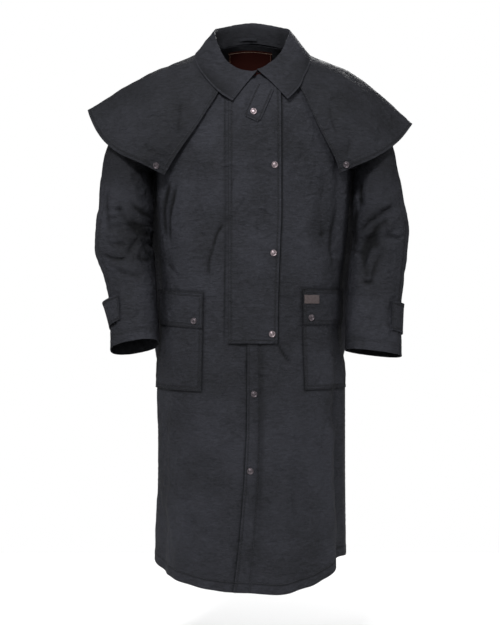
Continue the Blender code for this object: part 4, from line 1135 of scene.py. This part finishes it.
# The collar: two layers of oilskin with a stand, turned down over the cape and stitched all
# round its edge. It is open at the throat, with its points lying on the fronts.
COLLAR_COLUMNS = ("neck", "edge", "down", "out", "roll")
COLLAR_SECTIONS = (
    (8, -16.5, 73, 11.5, 8), (-22, -34, 60, 12.5, 10), (-40, -46, 49, 14, 14), (-65, -70, 27, 11, 26),
    (-90, -90, 16, 7, 39), (-110, -110, 16, 10, 49), (-140, -140, 18, 10, 52), (-180, -180, 22, 10, 53),
    (-220, -220, 18, 10, 52), (-250, -250, 16, 10, 49), (-270, -270, 14, 7, 40),
    (-295, -292, 33, 12, 27), (-316, -313, 60, 14, 14), (-333, -319, 77, 14, 10),
    (-350.4, -327.5, 95, 14, 8),
)
ROLL_OUT = 13.0
# The stand and the roll above the seam: shares of the roll's height and of how far it leans out.
ROLL_SHAPE = ((0.0, 0.0), (0.55, 0.02), (1.0, 0.42), (0.82, 1.0))
COLLAR_THICK = 1.8
STAND_SHADE = 0.62
COLLAR_WIDE = 620.0
COLLAR_LINE = 6.0
collar_near = (1.5, 3.0, 4.5, COLLAR_LINE, 7.5, 9.5)


def collar_section(place):
    """The collar's outer face at one place: seam, stand, roll, fall and edge."""
    size = {n: read(COLLAR_SECTIONS, COLLAR_COLUMNS, n, place, by_row=True) for n in COLLAR_COLUMNS}
    up = np.array([0.0, 0.0, 1.0])
    base, facing = trunk_face(size["neck"], 0.0)
    lift = front_lift(base[0]) if size["neck"] < -180 else 0.0
    seam = base + facing * lift + up * 3.0
    edge_base, edge_facing = trunk_face(size["edge"], size["down"])
    edge = edge_base + edge_facing * size["out"]
    away = unit((base + facing * CLOTH) * np.array([1, 1, 0]))
    roll = size["roll"]
    lean = ROLL_OUT * min(1.0, roll / 40 + 0.55)
    rolled = [seam + up * rise * roll + away * out * lean for rise, out in ROLL_SHAPE]
    fall = 0.5 * (rolled[-1] + edge) + away * 3.5 + up * 2.0
    return np.array(rolled + [fall, edge])


places = lines(0, COLLAR_WIDE, 4.6, first=collar_near, last=collar_near)
sections = [collar_section(place / COLLAR_WIDE * (len(COLLAR_SECTIONS) - 1)) for place in places]
edge_shares = 1 - np.array(collar_near[::-1]) / 44.0
alongs = np.concatenate([np.linspace(0, 3.85, 26), 4 + edge_shares, [5.0]])
form = np.array([[through_points(section, along) for section in sections] for along in alongs])
facing = -grid_normals(form)
edge_away = np.linalg.norm(form - form[-1], axis=-1)
fall = ease((alongs - 2.2) / 0.8)[:, None]
relief = crumple(form, 30.0, 1.6, 31.0) * ease(alongs / 0.6)[:, None]
relief = relief + fall * (sewn(edge_away, places, COLLAR_LINE, 12.0) - 0.2)
ends = sewn(places, edge_away, COLLAR_LINE, 13.0) + sewn(COLLAR_WIDE - places, edge_away, COLLAR_LINE, 14.0)
relief = relief + fall * ends
outer = form + facing * relief[..., None]
painted_shade = sunk(0.0, edge_away - COLLAR_LINE) * fall
# Painted shade on the stand's inner face, inside the back of the neck.
painted_shade = np.maximum(painted_shade, STAND_SHADE * (1 - ease((alongs - 1.2) / 0.8))[:, None])
cuts = round_edge(1 + collar_near.index(COLLAR_LINE), top=20)
collar = cloth("collar", outer, facing, painted_shade, cuts, thick=COLLAR_THICK)

# The storm flap: a doubled strip of oilskin sewn down the right front with two rows. It closes
# over the left front with three studs and hangs a little free along its other edge.
FLAP_HINGE_OUT = 2.5
FLAP_OUT = 6.4
FLAP_DROP = 34.0
FLAP_CREASES = (
    (28, -238, 46, -262, -1.6, 6), (-20, -330, -26, -450, 1.4, 12), (20, -420, 34, -540, -1.6, 12),
    (-30, -560, 10, -610, -1.4, 9), (46, -600, 20, -660, 1.4, 9), (-36, -250, -28, -330, -1.2, 9),
)
FLAP_WIDE = 122.0
FLAP_LINE = 7.0
flap_near = (1.5, 3.2, 5.0, FLAP_LINE, 9.0, 11.5)


def front_place(x, z):
    """The angle and distance down of points on the front, from where they show."""
    x, z = np.broadcast_arrays(np.asarray(x, dtype=float), np.asarray(z, dtype=float))
    angle = np.degrees(np.arcsin(np.clip(x / 230, -0.9, 0.9)))
    down = np.maximum(-z - 60, 1.0)
    # Steps of a search by slopes, which settles after a few.
    for _ in range(12):
        here = trunk_form(angle, down)
        by_angle = (trunk_form(angle + 0.5, down) - here) / 0.5
        by_down = trunk_form(angle, down + 1.0) - here
        miss_x = x - here[..., 0]
        miss_z = z - here[..., 2]
        whole = by_angle[..., 0] * by_down[..., 2] - by_angle[..., 2] * by_down[..., 0]
        angle = angle + np.clip((miss_x * by_down[..., 2] - miss_z * by_down[..., 0]) / whole, -8, 8)
        down = down + np.clip((by_angle[..., 0] * miss_z - by_angle[..., 2] * miss_x) / whole, -60, 60)
        down = np.maximum(down, 0.0)
    return angle, down


across = lines(0, FLAP_WIDE, 4.5, first=flap_near, last=flap_near)
falls = lines(FLAP_ROWS[0][0], FLAP_ROWS[-1][0], 4.5, first=flap_near, last=flap_near)[:, None]
edge = read(FLAP_ROWS, FLAP_COLUMNS, "edge", falls)
flap_x = FLAP_HINGE + (edge - FLAP_HINGE) * across / FLAP_WIDE
base, facing = trunk_face(*front_place(flap_x, -falls))
lift = FLAP_HINGE_OUT + (FLAP_OUT - FLAP_HINGE_OUT) * ease((flap_x - FLAP_HINGE) / FLAP_DROP)
free = FLAP_WIDE - across
foot = FLAP_ROWS[-1][0] - falls
relief = front_relief(base, 40.0) + creases(base, FLAP_CREASES)
relief = stitched(
    relief, (across, falls, FLAP_LINE, 15.0), (free, falls, FLAP_LINE, 16.0), (foot, across, FLAP_LINE, 17.0),
)
outer = base + facing * (lift + CLOTH + relief)[..., None]
painted_shade = sunk(creases(base, FRONT_CREASES), across - FLAP_LINE, across, free - FLAP_LINE, foot - FLAP_LINE)
near = 1 + flap_near.index(FLAP_LINE)
cuts = [np.s_[4:, near], np.s_[4:-near, 1]] + round_edge(near, top=4)[1:]
flap = cloth("storm_flap", outer, facing, painted_shade, cuts)

# The throat tab: a short doubled strip of oilskin across the throat, from under the left collar
# point to a stud on its clipped end. It is stitched all round.
THROAT_END = (3.0, -199.0)
THROAT_TOP = (37.0, -124.0)
THROAT_WIDTH = 41.0
THROAT_OUT = 9.1
THROAT_CLIP = 0.24
CLIP_LONG = 9.0
TAB_LINE = 4.5
tab_near = (1.2, 2.4, 3.5, TAB_LINE, 5.6, 7.4)
way = np.array(THROAT_TOP) - np.array(THROAT_END)
throat_long = float(np.linalg.norm(way))
way = way / throat_long
beside = np.array([way[1], -way[0]])
along = lines(0, throat_long, 3.5, first=tab_near)[::-1, None]
across = lines(-THROAT_WIDTH / 2, THROAT_WIDTH / 2, 3.5, first=tab_near, last=tab_near)
side_x = across * (1 - THROAT_CLIP * ease((CLIP_LONG - along) / CLIP_LONG))
flat_x = THROAT_END[0] + way[0] * along + beside[0] * side_x
flat_z = THROAT_END[1] + way[1] * along + beside[1] * side_x
base, facing = trunk_face(*front_place(flat_x, flat_z))
inside = THROAT_WIDTH / 2 - np.abs(across)
relief = stitched(0.0, (inside, along, TAB_LINE, 18.0), (along, across, TAB_LINE, 19.0))
relief = relief + front_relief(base, 50.0) * 0.6
outer = base + facing * (THROAT_OUT + CLOTH + relief)[..., None]
painted_shade = sunk(0.0, inside - TAB_LINE, along - TAB_LINE)
throat = cloth("throat_tab", outer, facing, painted_shade, round_edge(1 + tab_near.index(TAB_LINE), top=0))

# The patch pockets and their flaps: oilskin squares with turned edges, sewn flat on the fronts
# with two rows. The bag stands off a little at its foot, and the flap is held by one stud.
POCKET_OUT = 0.4
POCKET_BULGE = 2.2
POCKET_FLAP_OUT = 3.0
POCKET_FLAP_BULGE = 0.6
POCKET_LINES = (2.0, 8.0)
pocket_near = (1.0, POCKET_LINES[0], 3.2, 5.0, 6.6, POCKET_LINES[1], 9.6, 12.0)


def on_front(side, angles, downs):
    """Points on a front panel's outer face and where they face, with the panel's own relief."""
    base, facing = trunk_face(angles, downs)
    lift = front_lift(base[..., 0]) if side > 0 else 0.0
    return base + facing * (lift + CLOTH + front_relief(base, 3.0 + side))[..., None], facing


def pocket_piece(name, side, near, far, top, foot, out, bulge, free_top):
    """A pocket's bag or flap on its front, stitched at its sides and foot."""
    across = lines(0, POCKET_WIDE, 4.5, first=pocket_near, last=pocket_near)
    downs = lines(top, foot, 4.5, first=pocket_near, last=pocket_near)[:, None]
    angles = near + (far - near) * across / POCKET_WIDE
    base, facing = on_front(side, angles, downs)
    edge = np.minimum(across, POCKET_WIDE - across)
    relief = np.zeros(base.shape[:2])
    cuts = []
    away = np.minimum(edge, foot - downs)
    for line in POCKET_LINES:
        near_edge = 1 + pocket_near.index(line)
        relief = stitched(relief, (edge, downs, line, 20.0 + side), (foot - downs, across, line, 22.0))
        cuts += round_edge(near_edge)
        if not free_top:
            relief = stitched(relief, (downs - top, across, line, 23.0))
            cuts.append(np.s_[near_edge, near_edge:-near_edge])
            away = np.minimum(away, downs - top)
    swell = hump((across / POCKET_WIDE - 0.5) * 1.9) * hump(((downs - top) / (foot - top) - 0.62) * 1.7)
    relief = relief * 0.7 + bulge * swell + crumple(base, 16.0, 0.5, 60.0 + side) * ease(edge / 14)
    outer = base + facing * (out + CLOTH + relief)[..., None]
    painted_shade = sunk(creases(base, FRONT_CREASES), *[away - line for line in POCKET_LINES])
    return cloth(name, outer, facing, painted_shade, cuts)


for side, name, near, far, top, mouth, flap_foot, foot in POCKETS:
    bag = pocket_piece("pocket_" + name, side, near, far, mouth, foot, POCKET_OUT, POCKET_BULGE, True)
    cover = pocket_piece(
        "pocket_flap_" + name, side, near, far, top, flap_foot, POCKET_FLAP_OUT, POCKET_FLAP_BULGE, False,
    )

# The cuff tabs: doubled oilskin strips sewn into the sleeve's front and drawn round the back of
# the cuff, where a stud holds them. The right one gapes at its upper edge.
TAB_OUT = 1.7
TAB_STAND = 1.4
TAB_THICK = 1.0
# Side and name, the turns of the front and back end, the top and foot along the sleeve, and how
# far the upper edge gapes.
CUFF_TABS = (
    (-1, "right", 64.0, -64.0, 8.95, 9.95, 13.0),
    (1, "left", 60.0, -64.0, 9.0, 10.0, 3.0),
)
CUFF_TAB_LONG = 170.0
CUFF_TAB_WIDE = 50.0
for side, name, front_turn, back_turn, top, bottom, gape in CUFF_TABS:
    along = lines(0, CUFF_TAB_LONG, 4.0, first=tab_near, last=tab_near)
    shares = lines(0, CUFF_TAB_WIDE, 4.0, first=tab_near, last=tab_near)
    turns = front_turn + (back_turn - front_turn) * along / CUFF_TAB_LONG
    places = top + (bottom - top) * shares / CUFF_TAB_WIDE
    here = sleeve_form(side, turns, places)
    round_way = sleeve_form(side, turns + 2.0, places) - here
    down_way = sleeve_form(side, turns, places + 0.05) - here
    facing = -side * unit(np.cross(down_way, round_way))
    stand = TAB_OUT + gape * hump((turns - 5) / 60) * (1 - shares[:, None] / CUFF_TAB_WIDE)
    end = np.minimum(along, CUFF_TAB_LONG - along)
    edge = np.minimum(shares, CUFF_TAB_WIDE - shares)[:, None]
    relief = stitched(0.0, (end, shares[:, None], TAB_LINE, 24.0), (edge, along, TAB_LINE, 25.0))
    outer = here + facing * (stand + TAB_STAND + 0.7 * relief)[..., None]
    painted_shade = sunk(0.0, end - TAB_LINE, edge - TAB_LINE)
    near = 1 + tab_near.index(TAB_LINE)
    cuts = [np.s_[near, near:-near]] + round_edge(near) + [np.s_[near:-near, 2 * near]]
    tab = cloth("cuff_tab_" + name, outer, facing, painted_shade, cuts, thick=TAB_THICK)

# The neck label: a broad dark red-brown woven patch sewn inside the back neck with pale thread.
# It is left blank.
LABEL_SIDES = (-54.0, 55.0)
LABEL_TOP = 9.0
LABEL_FOOT = 62.0
LABEL_IN = 1.15
LABEL_THICK = 0.5


def angle_behind(x, down):
    """The angle at which the back of a ring crosses a sideways distance."""
    angles = np.linspace(100, 260, 321)
    return np.interp(x, trunk_form(angles, float(down))[::-1, 0], angles[::-1])


def woven(name, colour, other, pitch):
    """A close woven ribbon: matt, with its fine rows of thread just showing."""
    material, tree, shader = finish_of(name, {"Roughness": 0.85, "IOR": 1.5, "Specular IOR Level": 0.12})
    place = add(tree, "ShaderNodeTexCoord").outputs["Object"]
    rows = add(
        tree, "ShaderNodeTexWave", {"bands_direction": "Z"},
        {"Vector": place, "Scale": 0.5 / pitch, "Distortion": 1.5, "Detail": 2.0},
    )
    specks = add(tree, "ShaderNodeTexNoise", {}, {"Vector": place, "Scale": 500.0, "Detail": 2.0})
    share = add(
        tree, "ShaderNodeMath", {"operation": "MULTIPLY"},
        {0: rows.outputs["Fac"], 1: specks.outputs["Fac"]},
    )
    tone = add(
        tree, "ShaderNodeMix", {"data_type": "RGBA"},
        {"Factor": share.outputs[0], "A": linear(colour), "B": linear(other)},
    )
    tree.links.new(tone.outputs["Result"], shader.inputs["Base Color"])
    relief = add(
        tree, "ShaderNodeBump", {},
        {"Height": rows.outputs["Fac"], "Strength": 0.4, "Distance": 0.0003},
    )
    tree.links.new(relief.outputs[0], shader.inputs["Normal"])
    return material


label_weave = woven("red_brown_woven_label", "#240703", "#330d06", 0.0009)
across = lines(*LABEL_SIDES, 3.0)
downs = lines(LABEL_TOP, LABEL_FOOT, 3.0)[:, None]
angles = np.array([angle_behind(across, down) for down in downs[:, 0]])
base, facing = trunk_face(angles, downs)
base = base + facing * (CLOTH - SHELL - 0.3)
ripple = 0.3 * np.sin(across / 9.0) * np.cos(downs / 11.0)
outer = base - facing * (LABEL_IN + LABEL_THICK + ripple)[..., None]
label = shell("neck_label_cloth", outer - facing * LABEL_THICK, outer, label_weave)
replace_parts(label, "neck_label")
pale_thread, _, _ = finish_of("pale_cotton_thread", {"Base Color": linear("#a98f7c"), "Roughness": 0.7})
face = outer - facing * (LABEL_THICK + 0.1)
rows = [(face[cut], -facing[cut]) for cut in (1, -2, np.s_[1:-1, 1], np.s_[1:-1, -2])]
sew("stitches_neck_label", rows, pale_thread)

# The hanger loop: a short black woven tape, its ends sewn to the collar stand at the back neck.
LOOP_SIDES = (-27.0, 17.0)
LOOP_LOW = 10.5
LOOP_HIGH = 17.5
LOOP_BOW = 3.5
tape = woven("black_woven_tape", "#232428", "#323338", 0.0012)
across = lines(*LOOP_SIDES, 1.6)
heights = lines(LOOP_LOW, LOOP_HIGH, 0.9)
middle = sum(LOOP_SIDES) / 2
half = LOOP_SIDES[1] - middle
outer = []
for height in heights:
    base, _ = trunk_face(angle_behind(across, 0.0), 0.0)
    inward = -unit(base * np.array([1, 1, 0]))
    crown = 0.35 * hump((height - 14.0) / 4.5)
    bow = 0.8 + LOOP_BOW * hump((across - middle) / (half + 4)) + crown
    outer.append(base + np.array([0, 0, height]) + inward * bow[..., None])
outer = np.array(outer)
inward = -unit(outer * np.array([1, 1, 0]))
loop = shell("hanger_loop_tape", outer + inward * 0.9, outer, tape)
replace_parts(loop, "hanger_loop")

# The leather patch: a small plain piece of brown-grey leather with a blind line pressed round
# its edge, sewn on the left pocket's flap. It is left blank.
PATCH_ANGLES = (41.8, 52.0)
PATCH_DOWN = (607.0, 627.0)
PATCH_WIDE = 38.0
PATCH_THICK = 1.2
PATCH_LINE = 2.2
leather, tree, shader = finish_of("brown_grey_leather", {"Roughness": 0.55, "IOR": 1.5})
place = add(tree, "ShaderNodeTexCoord").outputs["Object"]
pores = add(tree, "ShaderNodeTexVoronoi", {"feature": "DISTANCE_TO_EDGE"}, {"Vector": place, "Scale": 900.0})
stain = add(tree, "ShaderNodeTexNoise", {}, {"Vector": place, "Scale": 160.0, "Detail": 4.0})
tone = add(
    tree, "ShaderNodeMix", {"data_type": "RGBA"},
    {"Factor": stain.outputs["Fac"], "A": linear("#3d3433"), "B": linear("#5c5152")},
)
tree.links.new(tone.outputs["Result"], shader.inputs["Base Color"])
grain = add(
    tree, "ShaderNodeBump", {},
    {"Height": pores.outputs["Distance"], "Strength": 0.5, "Distance": 0.0003},
)
tree.links.new(grain.outputs[0], shader.inputs["Normal"])
patch_near = (0.5, 1.0, 1.6, PATCH_LINE, 2.8, 3.5)
across = lines(0, PATCH_WIDE, 2.0, first=patch_near, last=patch_near)
downs = lines(*PATCH_DOWN, 2.0, first=patch_near, last=patch_near)[:, None]
angles = PATCH_ANGLES[0] + (PATCH_ANGLES[1] - PATCH_ANGLES[0]) * across / PATCH_WIDE
base, facing = on_front(1, angles, downs)
edge = np.minimum(across, PATCH_WIDE - across)
edge = np.minimum(edge, np.minimum(downs - PATCH_DOWN[0], PATCH_DOWN[1] - downs))
relief = -0.45 * ridge(edge - PATCH_LINE, 0.6) - 0.35 * (1 - ease(edge / 1.2))
bottom = base + facing * (POCKET_FLAP_OUT + CLOTH + SEAM + 0.55)
outer = bottom + facing * (PATCH_THICK + relief)[..., None]
patch = shell("leather_patch_hide", outer, bottom, leather)
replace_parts(patch, "leather_patch")

# The press studs: stamped caps of antiqued copper-nickel, 15 mm across, each with a rolled rim,
# a sunk ring and a low dome. They are riveted through the cloth.
STUD_RADIUS = 7.6
STUD_HEIGHT = 2.8
STUD_STEPS = 40


def antiqued(name, colour, rubbed):
    """Plated metal gone dark in patches, with its dull colour and the colour where it is rubbed."""
    material, tree, shader = finish_of(name, {"Metallic": 0.9})
    place = add(tree, "ShaderNodeTexCoord").outputs["Object"]
    tarnish = add(
        tree, "ShaderNodeTexNoise", {},
        {"Vector": place, "Scale": 420.0, "Detail": 5.0, "Roughness": 0.65},
    )
    tone = add(
        tree, "ShaderNodeMix", {"data_type": "RGBA"},
        {"Factor": tarnish.outputs["Fac"], "A": linear(colour), "B": linear(rubbed)},
    )
    tree.links.new(tone.outputs["Result"], shader.inputs["Base Color"])
    dull = add(
        tree, "ShaderNodeMapRange", {},
        {"Value": tarnish.outputs["Fac"], "From Min": 0.3, "From Max": 0.7, "To Min": 0.28, "To Max": 0.5},
    )
    tree.links.new(dull.outputs["Result"], shader.inputs["Roughness"])
    pits = add(
        tree, "ShaderNodeBump", {},
        {"Height": tarnish.outputs["Fac"], "Strength": 0.3, "Distance": 0.0002},
    )
    tree.links.new(pits.outputs[0], shader.inputs["Normal"])
    return material


# Two copies of one metal: the studs of the storm flap and the throat tab take the plain one, and all the
# others a darker copy, a painted shade.
copper_nickel = antiqued("antiqued_copper_nickel", "#72666a", "#a89b9f")
copper_nickel_shaded = antiqued("copper_nickel_painted_shade", "#453f43", "#7d757a")

# The cap's outline from its middle to its rim and back under it, as shares of radius and height.
STUD_PROFILE = (
    (0.0, 0.86), (0.2, 0.85), (0.4, 0.8), (0.52, 0.7), (0.58, 0.56), (0.63, 0.54), (0.68, 0.62),
    (0.74, 0.84), (0.82, 0.97), (0.9, 0.98), (0.96, 0.86), (1.0, 0.62), (0.99, 0.34), (0.94, 0.12),
    (0.86, 0.02), (0.6, 0.0), (0.0, 0.0),
)


def stud_mesh(name):
    shape = bmesh.new()
    line = [shape.verts.new((r * STUD_RADIUS * MM, 0, h * STUD_HEIGHT * MM)) for r, h in STUD_PROFILE]
    edges = [shape.edges.new(pair) for pair in zip(line, line[1:])]
    bmesh.ops.spin(
        shape, geom=line + edges, cent=(0, 0, 0), axis=(0, 0, 1), angle=math.tau, steps=STUD_STEPS,
        use_merge=True, use_duplicate=False,
    )
    bmesh.ops.remove_doubles(shape, verts=shape.verts, dist=1e-6)
    bmesh.ops.recalc_face_normals(shape, faces=shape.faces)
    mesh = bpy.data.meshes.new(name)
    shape.to_mesh(mesh)
    shape.free()
    mesh.shade_smooth()
    return mesh


for name in sorted(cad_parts):
    if not name.startswith("snap_"):
        continue
    corners = np.array([v.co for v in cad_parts[name].data.vertices])
    middle = corners.mean(axis=0)
    spread, ways = np.linalg.eigh(np.cov((corners - middle).T))
    # The cap is thinnest along the way it faces, which is away from the coat's middle.
    facing = Vector(ways[:, 0])
    if facing.dot(Vector((middle[0] * 0.4, middle[1], 0))) < 0:
        facing = -facing
    foot = Vector(middle) + facing * float(((corners - middle) @ np.array(facing)).min())
    mesh = stud_mesh(name + "_cap")
    turn = facing.to_track_quat("Z", "Y").to_matrix().to_4x4()
    mesh.transform(Matrix.Translation(foot) @ turn)
    # Painted shade: all studs but the storm flap's and the throat tab's take the darker copy.
    metal = copper_nickel if name.startswith(("snap_flap", "snap_throat")) else copper_nickel_shaded
    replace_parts(new_piece(name + "_cap", mesh, metal), name)

low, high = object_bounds()
